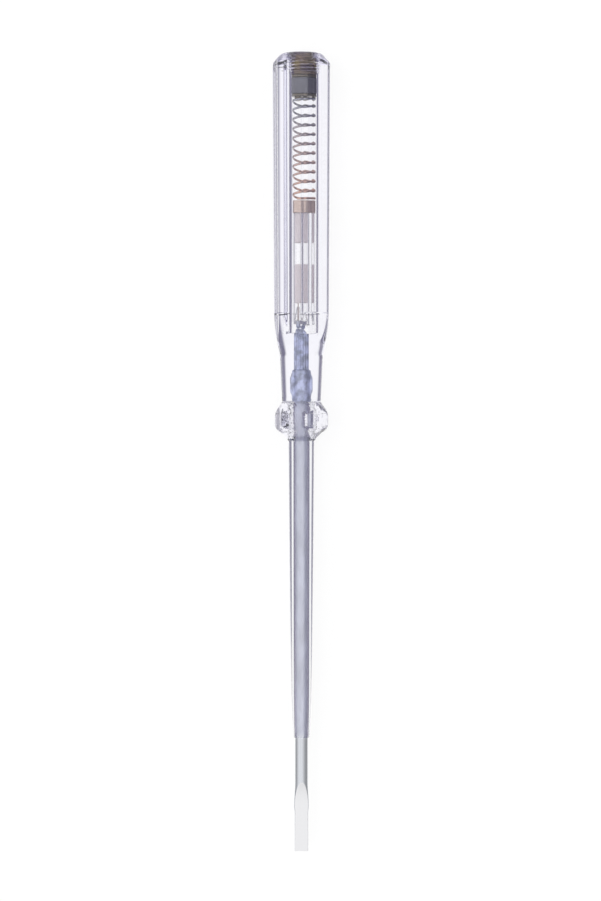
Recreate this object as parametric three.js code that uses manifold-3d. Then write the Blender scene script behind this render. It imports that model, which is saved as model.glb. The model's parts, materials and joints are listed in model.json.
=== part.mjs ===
// A long mains voltage tester screwdriver: a clear fluted handle with a lamp, a contact spring and
// a resistor in its bore, a screwed touch cap at the butt, and a slim flat blade in a clear sleeve.
// Millimetres. The tool lies along Y, its tip towards -Y and its touch cap towards +Y, as on a bench.
import * as THREE from 'three';
import { mergeVertices } from 'three/addons/utils/BufferGeometryUtils.js';
import Module from 'manifold-3d';

const wasm = await Module();
wasm.setup();

// Clearances
const slip_clearance = 0.15; // a piece in its bore or hole
const seat_clearance = 0.1; // between two faces that press on each other
const thread_clearance = 0.12; // between the cap's thread and the handle's
const overrun = 1; // how far a cut runs past the face it opens

// Layout along the tool
const bare_length = 27; // steel in front of the sleeve
const sleeve_length = 70.5; // sleeve in front of the guard
const handle_length = 92.1; // from the guard's nose to the butt
const cap_proud = 0.4; // of the touch cap's dome over the butt
const guard_length = 9.3;
const neck_length = 11.2;
const knee_length = 10.5;

// Handle
const butt_radius = 6.9;
const grip_radius = 6.6; // at the front end of the grip, so the moulding has draft
const knee_radius = 5.1;
const neck_radius = 4.6;
const nose_radius = 3.15;
const butt_chamfer = 2.1;
const flute_count = 6;
const flute_depth = 0.7;
const flute_half_width = 2.4;
const guard_radius = 6.65; // to the corners, which line up with the ridges
const guard_front_bevel = 3.8;
const guard_rear_bevel = 3.1;
const bore_radius = 3;
const handle_segments = 48;

// Blade
const shank_radius = 1.5;
const tip_width = 3.2;
const tip_thickness = 0.6;
const flare_width = 3.5;
const flare_length = 10.8; // from the tip to the widest place
const ground_length = 16.4; // from the tip to where the ground faces run out
const root_thickness = 1.1; // of the ground part at the widest place
const wing_width = 3.5;
const wing_thickness = 1.2;
const wing_length = 5.6;
const wing_setback = 1.4; // from the guard's rear to the wings
const full_shank_reach = 7.6; // from the guard's rear to where the knurled end starts
const knurl_length = 9.85;
const knurl_radius = 1.2;
const knurl_groove = 0.16;
const knurl_teeth = 14;
const blade_proud = 1.25; // how far the knurled end stands out of the bore's floor
const blade_turn = THREE.MathUtils.degToRad(20.5); // the flat of the tip, about the axis

// Sleeve
const sleeve_rear_radius = 3.02;
const sleeve_front_radius = 1.92;
const sleeve_lip = 0.15;
const spigot_radius = 2.3;
const spigot_length = 9; // the sleeve runs through the guard

// Touch cap and its thread
const cap_length = 5.7;
const dome_height = 0.8;
const slot_width = 0.9;
const slot_depth = 1.1;
const thread_pitch = 0.8;
const thread_crest = 0.25; // over the bore's radius
const thread_length = 5.2;
const thread_start = 0.4; // from the cap's inner face
const thread_end = 1.1; // from the top of the dome
const thread_rows = 5; // in one pitch

// Resistor
const resistor_length = 4.95;
const contact_disc_thickness = 0.45;
const contact_disc_radius = 2.7;
const spring_boss_radius = 1.45;
const spring_boss_length = 0.9;

// Contact spring
const spring_wire = 0.55;
const spring_outer_radius = 2.4;
const spring_turns = 10.75;
const curl_steps = 8;
const wire_sides = 5;

// Lamp
const lamp_glass_radius = 2;
const lamp_glass_wall = 0.35;
const lamp_cap_length = 2.9;
const lamp_cap_wall = 0.15;
const lamp_cap_end = 0.35;
const electrode_radius = 1.5;
const electrode_wall = 0.2;
const electrode_base = 0.3;
const rear_electrode_length = 7.1;
const front_electrode_length = 9.1;
const electrode_gap = 5.2;
const lead_radius = 0.25;
const bare_lead_length = 0.95; // between the front seal's tip and the front electrode
const rear_seal_length = 2.2;
const front_seal_length = 4.1;
const front_seal_rim = 0.7;
const front_seal_tip_radius = 0.6;
const lamp_contact_radius = 0.9;
const lamp_contact_length = 1.6;
const lamp_segments = 24;

// Stations along the tool, from the tip. The lamp stands on the blade's end, the resistor and the
// spring hang from the cap, and the spring takes up what is left between them.
const guard_front = bare_length + sleeve_length;
const guard_rear = guard_front + guard_length;
const neck_rear = guard_rear + neck_length;
const grip_front = neck_rear + knee_length;
const butt = guard_front + handle_length;
const overall_length = butt + cap_proud;
const knurl_front = guard_rear + full_shank_reach;
const blade_rear = knurl_front + knurl_length;
const bore_floor = blade_rear - blade_proud;
const lamp_contact_front = blade_rear + seat_clearance;
const lamp_contact_rear = lamp_contact_front + lamp_contact_length;
const glass_front = lamp_contact_front + lamp_contact_length / 2 + seat_clearance;
const front_seal_rear = glass_front + front_seal_length;
const front_electrode_front = front_seal_rear + bare_lead_length;
const front_electrode_rear = front_electrode_front + front_electrode_length;
const rear_electrode_front = front_electrode_rear + electrode_gap;
const rear_electrode_rear = rear_electrode_front + rear_electrode_length;
const rear_seal_front = rear_electrode_rear + seat_clearance;
const rear_seal_rear = rear_seal_front + rear_seal_length;
const glass_rear = rear_seal_rear + seat_clearance;
const lamp_rear = glass_rear + seat_clearance + lamp_cap_end;
const cap_front = overall_length - cap_length;
const resistor_rear = cap_front - seat_clearance;
const resistor_front = resistor_rear - resistor_length;
const spring_rear = resistor_front - seat_clearance;
const spring_front = lamp_rear + seat_clearance;

// The manifold solid of a closed three.js geometry.
function solid(geometry) {
  const bare = geometry.clone();
  bare.deleteAttribute('normal');
  bare.deleteAttribute('uv');
  const merged = mergeVertices(bare, 1e-5);
  const index = Array.from(merged.index.array);
  const kept = [];
  for (let i = 0; i < index.length; i += 3) {
    const [a, b, c] = index.slice(i, i + 3);
    if (a !== b && b !== c && a !== c) kept.push(a, b, c);
  }
  return new wasm.Manifold(new wasm.Mesh({
    numProp: 3,
    vertProperties: new Float32Array(merged.attributes.position.array),
    triVerts: new Uint32Array(kept),
  }));
}

// The three.js geometry of a manifold solid, with the crisp normals of a cut solid.
function geometryOf(body) {
  const mesh = body.getMesh();
  const geometry = new THREE.BufferGeometry();
  geometry.setAttribute('position', new THREE.BufferAttribute(mesh.vertProperties, 3));
  geometry.setIndex(new THREE.BufferAttribute(mesh.triVerts, 1));
  const crisp = geometry.toNonIndexed();
  crisp.computeVertexNormals();
  return crisp;
}

// A turned solid about the tool's axis, from [radius, station] pairs.
function turned(profile, segments) {
  const points = profile.map(([radius, station]) => new THREE.Vector2(radius, station));
  return new THREE.LatheGeometry(points, segments);
}

// A turned rod between two stations.
function rod(radius, front, rear, segments) {
  return turned([[0, front], [radius, front], [radius, rear], [0, rear]], segments);
}

// A turned tube with open ends.
function tube(outer, inner, front, rear, segments) {
  return turned([[inner, front], [outer, front], [outer, rear], [inner, rear], [inner, front]], segments);
}

// An outline in the X-Y plane, given a thickness along Z that is centred on the axis.
function plate(outline, thickness) {
  const shape = new THREE.Shape(outline.map(([x, y]) => new THREE.Vector2(x, y)));
  const geometry = new THREE.ExtrudeGeometry(shape, { depth: thickness, bevelEnabled: false });
  return geometry.translate(0, 0, -thickness / 2);
}

// A prism along the tool whose section is a ring of [x, z] points.
function prism(section, front, rear) {
  const shape = new THREE.Shape(section.map(([x, z]) => new THREE.Vector2(x, -z)));
  const geometry = new THREE.ExtrudeGeometry(shape, { depth: rear - front, bevelEnabled: false });
  return geometry.rotateX(-Math.PI / 2).translate(0, front, 0);
}

// Rings of a turned profile, close enough together to carry a thread.
function threadRows(radius, front, rear) {
  const rows = Math.ceil((rear - front) / thread_pitch * thread_rows);
  return Array.from({ length: rows + 1 }, (_, i) => [radius, front + (rear - front) * i / rows]);
}

// Raises a rounded right-handed thread out of a turned surface of the root radius between two stations.
// The radius follows a cosine of station less turn, and the ridge grows over half a pitch from each
// end that is not open.
function raiseThread(geometry, root, crest, front, rear, openRear) {
  const position = geometry.attributes.position;
  const weld = seat_clearance / 10;
  for (let i = 0; i < position.count; i++) {
    const [x, y, z] = [position.getX(i), position.getY(i), position.getZ(i)];
    if (Math.abs(Math.hypot(x, z) - root) > weld || y < front || y > rear) continue;
    const turn = Math.atan2(x, z);
    const wave = (1 + Math.cos(2 * Math.PI * (y - butt) / thread_pitch - turn)) / 2;
    const fade = Math.min((y - front) / thread_pitch * 2, openRear ? 1 : (rear - y) / thread_pitch * 2, 1);
    const radius = root + (crest - root) * wave * fade;
    position.setXYZ(i, radius * Math.sin(turn), y, radius * Math.cos(turn));
  }
  return geometry;
}

// Handle: one clear moulding
function handle() {
  const knee_steps = 6;
  const knee = [];
  for (let i = 0; i <= knee_steps; i++) {
    const share = i / knee_steps;
    const rise = Math.sin(share * Math.PI / 2);
    knee.push([knee_radius + (grip_radius - knee_radius) * rise, neck_rear + knee_length * share]);
  }
  let body = solid(turned([
    [0, guard_front],
    [nose_radius, guard_front],
    [neck_radius, guard_rear],
    ...knee,
    [butt_radius, butt - butt_chamfer],
    [butt_radius - butt_chamfer, butt],
    [0, butt],
  ], handle_segments));

  // The flutes are long shallow hollows, square to the draft of the grip.
  const grip_length = butt - butt_chamfer - grip_front;
  const draft = Math.atan2(butt_radius - grip_radius, grip_length);
  const chord_drop = grip_radius - Math.sqrt(grip_radius ** 2 - flute_half_width ** 2);
  const hollow = flute_depth - chord_drop;
  const cutter_radius = (flute_half_width ** 2 + hollow ** 2) / (2 * hollow);
  const cutter_length = butt - neck_rear + 2 * overrun;
  const cutter_segments = 72;
  for (let i = 0; i < flute_count; i++) {
    const cutter = new THREE.CylinderGeometry(cutter_radius, cutter_radius, cutter_length, cutter_segments);
    cutter.translate(0, cutter_length / 2 - knee_length - overrun, cutter_radius);
    cutter.rotateX(draft);
    cutter.translate(0, grip_front, grip_radius - flute_depth);
    cutter.rotateY(2 * Math.PI * i / flute_count);
    body = body.subtract(solid(cutter));
  }

  // The guard: a ring with a flat under each flute, and turned bevels.
  const front_bevel_shares = [
    [0.06, 0.12], [0.2, 0.28], [0.42, 0.47], [0.64, 0.62], [0.8, 0.74], [0.92, 0.87],
  ];
  const rear_bevel_shares = [[0.8, 0.22], [0.5, 0.52], [0.17, 0.83]];
  const guard_rise = guard_radius - nose_radius;
  const guard_fall = guard_radius - neck_radius;
  const bevels = solid(turned([
    [0, guard_front],
    [nose_radius, guard_front],
    ...front_bevel_shares.map(([rise, run]) => [
      nose_radius + guard_rise * rise, guard_front + guard_front_bevel * run]),
    [guard_radius, guard_front + guard_front_bevel],
    [guard_radius, guard_rear - guard_rear_bevel],
    ...rear_bevel_shares.map(([rise, run]) => [
      neck_radius + guard_fall * rise, guard_rear - guard_rear_bevel * (1 - run)]),
    [neck_radius, guard_rear],
    [0, guard_rear],
  ], handle_segments));
  const corners = [];
  for (let i = 0; i < flute_count; i++) {
    const turn = 2 * Math.PI * (i + 0.5) / flute_count;
    corners.push([guard_radius * Math.sin(turn), guard_radius * Math.cos(turn)]);
  }
  const ring = solid(prism(corners, guard_front - overrun, guard_rear + overrun));
  body = body.add(bevels.intersect(ring));

  // The bore with its thread, the seat of the blade and the socket of the sleeve.
  const socket_radius = spigot_radius + slip_clearance;
  const socket_rear = guard_front + spigot_length;
  const shank_hole = shank_radius + slip_clearance;
  const wing_hole = wing_width / 2 + slip_clearance;
  const wing_front = guard_rear + wing_setback - slip_clearance;
  const wing_rear = wing_front + wing_length + 2 * slip_clearance;
  const groove_front = butt - thread_length;
  const seat = turned([
    [0, guard_front - overrun],
    [socket_radius, guard_front - overrun],
    [socket_radius, socket_rear],
    [shank_hole, socket_rear],
    [shank_hole, wing_front],
    [wing_hole, wing_front],
    [wing_hole, wing_rear],
    [shank_hole, wing_rear],
    [shank_hole, knurl_front + slip_clearance],
    [knurl_radius + slip_clearance, knurl_front + slip_clearance],
    [knurl_radius + slip_clearance, bore_floor],
    [bore_radius, bore_floor],
    ...threadRows(bore_radius, groove_front, butt + overrun),
    [0, butt + overrun],
  ], lamp_segments);
  const groove_crest = bore_radius + thread_crest + thread_clearance;
  raiseThread(seat, bore_radius, groove_crest, groove_front, butt + overrun, true);
  return geometryOf(body.subtract(solid(seat)));
}

// Blade: flat ground tip, round shank, swaged wings and a knurled inner end
function blade() {
  const blend_length = 2 * shank_radius; // over which the flare runs back into the shank
  const half_tip = tip_width / 2;
  const half_flare = flare_width / 2;
  const tip_land_share = 0.82;
  const half_outline = [
    [half_tip, 0],
    [half_tip, flare_length * tip_land_share],
    [half_flare, flare_length],
    [shank_radius, ground_length],
  ];
  const mirrored = [...half_outline].reverse().map(([x, y]) => [-x, y]);
  const flare = solid(plate([...half_outline, ...mirrored], root_thickness));
  const shank = solid(rod(shank_radius, flare_length - blend_length, knurl_front, lamp_segments));

  // Two ground faces: straight near the tip, then hollow up to the round of the shank.
  const half_root = root_thickness / 2;
  const ground_rise = shank_radius - half_root;
  const ground_steps = 6;
  const side = [[tip_thickness / 2, -overrun], [tip_thickness / 2, 0], [half_root, flare_length]];
  for (let i = 1; i <= ground_steps; i++) {
    const share = i / ground_steps;
    const station = flare_length + (ground_length - flare_length) * share;
    side.push([half_root + ground_rise * share ** 2, station]);
  }
  const far = overall_length + overrun;
  const clear = 2 * shank_radius;
  side.push([clear, ground_length], [clear, far]);
  const outline = [...side, ...[...side].reverse().map(([x, y]) => [-x, y])];
  const wedge = solid(plate(outline, 2 * flare_width).rotateY(Math.PI / 2));
  const front = flare.add(shank).intersect(wedge);

  const wing_front = guard_rear + wing_setback;
  const wing_rear = wing_front + wing_length;
  const wing_slope = (wing_width / 2 - shank_radius) * 2;
  const half_wing = [
    [shank_radius / 2, wing_front],
    [shank_radius, wing_front],
    [wing_width / 2, wing_front + wing_slope],
    [wing_width / 2, wing_rear - wing_slope],
    [shank_radius, wing_rear],
    [shank_radius / 2, wing_rear],
  ];
  const wings = solid(plate([...half_wing, ...[...half_wing].reverse().map(([x, y]) => [-x, y])], wing_thickness));

  const teeth = [];
  for (let i = 0; i < 2 * knurl_teeth; i++) {
    const radius = i % 2 ? knurl_radius - knurl_groove : knurl_radius;
    const turn = Math.PI * i / knurl_teeth;
    teeth.push([radius * Math.sin(turn), radius * Math.cos(turn)]);
  }
  const knurl = solid(prism(teeth, knurl_front - shank_radius, blade_rear));
  const nib_length = knurl_radius / 2;
  const end = solid(turned([
    [0, knurl_front - 2 * shank_radius],
    [shank_radius, knurl_front - 2 * shank_radius],
    [shank_radius, blade_rear - nib_length],
    [knurl_radius / 2, blade_rear],
    [0, blade_rear],
  ], lamp_segments));
  const body = front.add(wings).add(knurl.intersect(end));
  return geometryOf(body).rotateY(blade_turn);
}

// Sleeve: a clear tapered tube, pushed into the nose of the handle on a thinner spigot
function bladeSleeve() {
  const inner = shank_radius + slip_clearance;
  const shoulder = guard_front - seat_clearance;
  const taper_shares = [[0.34, 0.12], [0.58, 0.32], [0.78, 0.59], [0.92, 0.85]];
  const rise = sleeve_rear_radius - sleeve_front_radius;
  return turned([
    [inner, bare_length],
    [sleeve_front_radius - sleeve_lip, bare_length],
    [sleeve_front_radius, bare_length + sleeve_lip],
    ...taper_shares.map(([share, run]) => [
      sleeve_front_radius + rise * share, bare_length + sleeve_length * run]),
    [sleeve_rear_radius, shoulder],
    [spigot_radius, shoulder],
    [spigot_radius, guard_front + spigot_length - slip_clearance],
    [inner, guard_front + spigot_length - slip_clearance],
    [inner, bare_length],
  ], lamp_segments);
}

// Touch cap: a slotted screw with a low dome
function contactCap() {
  const root = bore_radius - thread_clearance;
  const thread_front = cap_front + thread_start;
  const thread_rear = overall_length - thread_end;
  const dome_steps = 5;
  const dome = [];
  for (let i = 0; i < dome_steps; i++) {
    const turn = Math.PI / 2 * i / dome_steps;
    dome.push([root * Math.cos(turn), overall_length - dome_height * (1 - Math.sin(turn))]);
  }
  const screw = turned([
    [0, cap_front],
    [root, cap_front],
    ...threadRows(root, thread_front, thread_rear),
    ...dome,
    [0, overall_length],
  ], lamp_segments);
  raiseThread(screw, root, bore_radius + thread_crest, thread_front, thread_rear, false);
  const slot = new THREE.BoxGeometry(slot_width, 2 * slot_depth, 2 * butt_radius);
  slot.translate(0, overall_length, 0);
  return geometryOf(solid(screw).subtract(solid(slot.rotateY(blade_turn))));
}

// Resistor: a dark block with a metal disc pressed on each end
function resistorBody() {
  const inset = contact_disc_thickness + seat_clearance;
  return rod(bore_radius - slip_clearance, resistor_front + inset, resistor_rear - inset, lamp_segments);
}

function resistorRearContact() {
  return rod(contact_disc_radius, resistor_rear - contact_disc_thickness, resistor_rear, lamp_segments);
}

function resistorFrontContact() {
  return turned([
    [0, resistor_front - spring_boss_length],
    [spring_boss_radius, resistor_front - spring_boss_length],
    [spring_boss_radius, resistor_front],
    [contact_disc_radius, resistor_front],
    [contact_disc_radius, resistor_front + contact_disc_thickness],
    [0, resistor_front + contact_disc_thickness],
  ], lamp_segments);
}

// Spring: one unbroken wire. It leaves each seat square for a wire's diameter and then winds.
function contactSpring() {
  const wire_radius = spring_wire / 2;
  const coil_radius = spring_outer_radius - wire_radius;
  const wound_front = spring_front + spring_wire;
  const wound_rear = spring_rear - spring_wire;
  const steps = Math.round(spring_turns * curl_steps);
  const centres = [new THREE.Vector3(0, spring_front, coil_radius)];
  for (let i = 0; i <= steps; i++) {
    const turn = 2 * Math.PI * spring_turns * i / steps;
    const station = wound_front + (wound_rear - wound_front) * i / steps;
    centres.push(new THREE.Vector3(coil_radius * Math.sin(turn), station, coil_radius * Math.cos(turn)));
  }
  const last = centres[centres.length - 1];
  centres.push(new THREE.Vector3(last.x, spring_rear, last.z));

  // The least gap between turns, measured on the points a half turn or more apart.
  let nearest = Infinity;
  for (let i = 0; i < centres.length; i++) {
    for (let j = i + curl_steps / 2; j < centres.length; j++) {
      nearest = Math.min(nearest, centres[i].distanceTo(centres[j]));
    }
  }
  console.log('spring: least gap between turns ' + (nearest - spring_wire).toFixed(2) + ' mm');

  // A ring of points square to the wire at each centre, one side of it facing out of the coil.
  const positions = [];
  const along = new THREE.Vector3();
  const outward = new THREE.Vector3();
  const across = new THREE.Vector3();
  const mitre_limit = 0.5;
  centres.forEach((centre, i) => {
    const back = centres[Math.max(i - 1, 0)];
    const ahead = centres[Math.min(i + 1, centres.length - 1)];
    const into = centre.clone().sub(back).normalize();
    const out = ahead.clone().sub(centre).normalize();
    along.copy(into).add(out).normalize();
    if (i === 0) along.copy(out);
    if (i === centres.length - 1) along.copy(into);
    outward.set(centre.x, 0, centre.z).normalize();
    across.crossVectors(along, outward).normalize();
    outward.crossVectors(across, along).normalize();
    const bend = i === 0 || i === centres.length - 1 ? 1 : Math.max(along.dot(into), mitre_limit);
    for (let k = 0; k < wire_sides; k++) {
      const turn = 2 * Math.PI * k / wire_sides;
      const point = centre.clone();
      point.addScaledVector(outward, wire_radius * Math.cos(turn));
      point.addScaledVector(across, wire_radius * Math.sin(turn) / bend);
      positions.push(point.x, point.y, point.z);
    }
  });
  const index = [];
  for (let i = 0; i + 1 < centres.length; i++) {
    for (let k = 0; k < wire_sides; k++) {
      const a = i * wire_sides + k;
      const b = i * wire_sides + (k + 1) % wire_sides;
      index.push(a, b, a + wire_sides, b, b + wire_sides, a + wire_sides);
    }
  }
  const end = (centres.length - 1) * wire_sides;
  for (let k = 1; k + 1 < wire_sides; k++) {
    index.push(0, k + 1, k);
    index.push(end, end + k, end + k + 1);
  }
  const geometry = new THREE.BufferGeometry();
  geometry.setAttribute('position', new THREE.Float32BufferAttribute(positions, 3));
  geometry.setIndex(index);
  const crisp = geometry.toNonIndexed();
  crisp.computeVertexNormals();
  return crisp;
}

// Lamp: a glass tube with a metal cap behind, two cup electrodes on leads, and a glass seal at each end
const glass_bore = lamp_glass_radius - lamp_glass_wall;
const seal_radius = glass_bore - seat_clearance / 2;
const lead_hole = lead_radius + seat_clearance / 2;

function lampGlass() {
  return tube(lamp_glass_radius, glass_bore, glass_front, glass_rear, lamp_segments);
}

function lampRearCap() {
  const inner = lamp_glass_radius + seat_clearance;
  const outer = inner + lamp_cap_wall;
  return turned([
    [inner, lamp_rear - lamp_cap_length],
    [outer, lamp_rear - lamp_cap_length],
    [outer, lamp_rear],
    [0, lamp_rear],
    [0, lamp_rear - lamp_cap_end],
    [inner, lamp_rear - lamp_cap_end],
    [inner, lamp_rear - lamp_cap_length],
  ], lamp_segments);
}

function lampRearSeal() {
  return tube(seal_radius, lead_hole, rear_seal_front, rear_seal_rear, lamp_segments);
}

function rearElectrode() {
  const inner = electrode_radius - electrode_wall;
  return turned([
    [inner, rear_electrode_front],
    [electrode_radius, rear_electrode_front],
    [electrode_radius, rear_electrode_rear],
    [0, rear_electrode_rear],
    [0, rear_electrode_rear - electrode_base],
    [inner, rear_electrode_rear - electrode_base],
    [inner, rear_electrode_front],
  ], lamp_segments);
}

function rearLead() {
  return rod(lead_radius, rear_electrode_rear + seat_clearance / 2,
    lamp_rear - lamp_cap_end - seat_clearance / 2, wire_sides * 2);
}

function frontElectrode() {
  const inner = electrode_radius - electrode_wall;
  return turned([
    [0, front_electrode_front],
    [electrode_radius, front_electrode_front],
    [electrode_radius, front_electrode_rear],
    [inner, front_electrode_rear],
    [inner, front_electrode_front + electrode_base],
    [0, front_electrode_front + electrode_base],
  ], lamp_segments);
}

function frontLead() {
  return rod(lead_radius, lamp_contact_rear + seat_clearance / 2,
    front_electrode_front - seat_clearance / 2, wire_sides * 2);
}

function lampFrontSeal() {
  const recess_rear = lamp_contact_rear + seat_clearance;
  const recess_radius = lamp_contact_radius + seat_clearance;
  return turned([
    [recess_radius, glass_front],
    [seal_radius, glass_front],
    [seal_radius, glass_front + front_seal_rim],
    [front_seal_tip_radius, front_seal_rear],
    [lead_hole, front_seal_rear],
    [lead_hole, recess_rear],
    [recess_radius, recess_rear],
    [recess_radius, glass_front],
  ], lamp_segments);
}

function lampFrontContact() {
  const nose = lamp_contact_radius / 3;
  return turned([
    [0, lamp_contact_front],
    [lamp_contact_radius - nose, lamp_contact_front],
    [lamp_contact_radius, lamp_contact_front + nose],
    [lamp_contact_radius, lamp_contact_rear],
    [0, lamp_contact_rear],
  ], lamp_segments);
}

// Materials
function finish(color, roughness, metalness) {
  return new THREE.MeshStandardMaterial({ color, roughness, metalness });
}

const tool = new THREE.Group();
const pieces = [
  ['handle', handle(), finish('#e9e4fb', 0.08, 0)],
  ['blade', blade(), finish('#c9cbd2', 0.25, 1)],
  ['blade_sleeve', bladeSleeve(), finish('#dfe1ee', 0.15, 0)],
  ['contact_cap', contactCap(), finish('#b9aa8e', 0.3, 1)],
  ['resistor_body', resistorBody(), finish('#4f5058', 0.6, 0)],
  ['resistor_rear_contact', resistorRearContact(), finish('#8d8478', 0.35, 1)],
  ['resistor_front_contact', resistorFrontContact(), finish('#8a8a90', 0.35, 1)],
  ['contact_spring', contactSpring(), finish('#8f7f7a', 0.3, 1)],
  ['lamp_glass', lampGlass(), finish('#f3eef8', 0.05, 0)],
  ['lamp_rear_cap', lampRearCap(), finish('#96745e', 0.35, 1)],
  ['lamp_rear_seal', lampRearSeal(), finish('#e6dbe6', 0.1, 0)],
  ['rear_electrode', rearElectrode(), finish('#a9877c', 0.4, 1)],
  ['rear_lead', rearLead(), finish('#9a7a66', 0.4, 1)],
  ['front_electrode', frontElectrode(), finish('#a9877c', 0.4, 1)],
  ['front_lead', frontLead(), finish('#9a7a66', 0.4, 1)],
  ['lamp_front_seal', lampFrontSeal(), finish('#e8e2f2', 0.1, 0)],
  ['lamp_front_contact', lampFrontContact(), finish('#8b93ad', 0.35, 1)],
];
for (const [name, geometry, material] of pieces) {
  const mesh = new THREE.Mesh(geometry, material);
  mesh.name = name;
  tool.add(mesh);
}

// The middle of the tool is over the origin, and the ridges beside its lowest flute touch the floor.
const box = new THREE.Box3().setFromObject(tool);
tool.position.set(0, -overall_length / 2, -box.min.z);

const group = new THREE.Group();
group.add(tool);

export default group;
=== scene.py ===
import json
import math

import bpy
import numpy as np
from bpy.props import FloatProperty, FloatVectorProperty, IntProperty, PointerProperty
from mathutils import Matrix, Vector

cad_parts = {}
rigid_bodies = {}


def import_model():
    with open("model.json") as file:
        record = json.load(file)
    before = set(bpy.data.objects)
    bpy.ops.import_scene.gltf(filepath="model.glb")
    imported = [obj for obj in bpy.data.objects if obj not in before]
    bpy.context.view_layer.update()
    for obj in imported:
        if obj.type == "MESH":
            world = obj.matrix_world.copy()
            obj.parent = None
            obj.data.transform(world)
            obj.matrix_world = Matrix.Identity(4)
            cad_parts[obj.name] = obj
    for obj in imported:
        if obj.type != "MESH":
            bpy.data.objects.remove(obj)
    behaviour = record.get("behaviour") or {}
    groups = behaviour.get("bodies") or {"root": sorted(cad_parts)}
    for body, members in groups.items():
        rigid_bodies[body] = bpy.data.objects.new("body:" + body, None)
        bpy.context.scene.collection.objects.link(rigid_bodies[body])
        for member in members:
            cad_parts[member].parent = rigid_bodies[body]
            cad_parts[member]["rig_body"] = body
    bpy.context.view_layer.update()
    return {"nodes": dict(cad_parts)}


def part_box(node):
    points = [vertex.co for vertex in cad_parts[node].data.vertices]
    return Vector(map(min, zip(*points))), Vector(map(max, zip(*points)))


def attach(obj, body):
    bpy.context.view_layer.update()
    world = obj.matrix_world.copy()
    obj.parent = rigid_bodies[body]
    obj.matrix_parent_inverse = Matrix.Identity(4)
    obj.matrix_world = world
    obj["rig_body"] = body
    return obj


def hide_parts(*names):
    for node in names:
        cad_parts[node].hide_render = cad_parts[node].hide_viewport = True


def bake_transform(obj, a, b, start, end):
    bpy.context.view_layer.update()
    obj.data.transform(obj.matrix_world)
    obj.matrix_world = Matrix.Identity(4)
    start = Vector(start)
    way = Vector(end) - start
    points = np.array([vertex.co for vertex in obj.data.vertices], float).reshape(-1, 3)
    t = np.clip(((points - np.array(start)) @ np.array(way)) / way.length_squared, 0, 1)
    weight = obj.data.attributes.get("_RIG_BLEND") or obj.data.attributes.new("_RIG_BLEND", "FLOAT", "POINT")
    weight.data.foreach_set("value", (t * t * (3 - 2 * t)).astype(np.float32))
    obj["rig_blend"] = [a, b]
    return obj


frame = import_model()

bl_info = {
    "name": "Voltage tester screwdriver",
    "version": (1, 0, 0),
    "blender": (4, 5, 0),
    "location": "3D View > Sidebar > Tester",
    "description": "Dresses the packed model of a clear-handled voltage tester in its real surfaces",
    "category": "Object",
}

MM = 0.001
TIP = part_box("blade")[0].y
AXIS_HEIGHT = (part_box("blade_sleeve")[0].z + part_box("blade_sleeve")[1].z) / 2
ARC_STEPS = 6  # points on each rounded corner
ROUND_COLUMNS = 96  # columns of a turned piece
NEAR_NOUGHT = 1e-9  # keeps a radius from being divided by nought
BOND = 0.02 * MM  # how far plastic that is moulded or bonded to a piece reaches into it, so no air shows

# The handle's mesh: its columns, and the longest steps between its rows.
COLUMNS_PER_FLUTE = 40
COLUMN_CROWDING = 0.16  # draws the columns towards the ridges and the flutes' middles
KNEE_POINTS = 9
GUARD_STEP = 0.2 * MM
NECK_STEP = 0.8 * MM
KNEE_STEP = 0.35 * MM
GRIP_STEP = 2.4 * MM
BUTT_STEP = 0.15 * MM
THREAD_STEPS = 10  # rows to each pitch of a thread

# The rounding of the handle's corners, and the small lengths of the touch cap.
BORE_CORNER = 0.15 * MM
GUARD_CORNER = 0.4 * MM
KNEE_CORNER = 0.7 * MM
BUTT_CORNER = 0.6 * MM
CAP_CHAMFER = 0.25 * MM
CAP_HEAD = 1.1 * MM  # from the cap's thread to the top of its dome
THREAD_FADE = 0.4 * MM  # each run-out of the cap's thread

# The guard's two bevels, as shares of their height and of their length.
GUARD_RISE_SHARES = np.array([
    [0.0, 0.0], [0.06, 0.12], [0.2, 0.28], [0.42, 0.47], [0.64, 0.62], [0.8, 0.74], [0.92, 0.87], [1.0, 1.0]])
GUARD_FALL_SHARES = np.array([[1.0, 0.0], [0.8, 0.22], [0.5, 0.52], [0.17, 0.83], [0.0, 1.0]])
# The sleeve's taper, as shares of its rise and of its length in front of the guard.
TAPER_SHARES = np.array([[0.34, 0.12], [0.58, 0.32], [0.78, 0.59], [0.92, 0.85]])

# The lamps: name, place in metres, side in metres and power in watts.
SOFTBOXES = (
    ("overhead_softbox", (0.0, 0.0, 0.9), 0.9, 4.5),
    ("left_softbox", (-0.8, 0.2, 0.6), 0.5, 2.2),
    ("right_softbox", (0.8, -0.1, 0.5), 0.5, 2.2),
)


def front_of(node):
    """The station of a CAD node's end towards the tip, in metres from the tip."""
    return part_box(node)[0].y - TIP


def rear_of(node):
    """The station of a CAD node's end towards the butt, in metres from the tip."""
    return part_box(node)[1].y - TIP


def linear(hex_colour):
    """The linear RGB of an sRGB hex colour."""
    shares = np.array([int(hex_colour[i:i + 2], 16) for i in (1, 3, 5)]) / 255
    bent = np.where(shares > 0.04045, ((shares + 0.055) / 1.055) ** 2.4, shares / 12.92)
    return tuple(float(share) for share in bent)


def length(name, description, default_mm):
    """A size that the user can change, given in millimetres."""
    return FloatProperty(
        name=name, description=description, default=default_mm * MM, unit="LENGTH", precision=5)


def colour(name, description, hex_colour):
    """A colour that the user can change."""
    return FloatVectorProperty(
        name=name, description=description, default=linear(hex_colour), subtype="COLOR", min=0, max=1)


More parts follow.
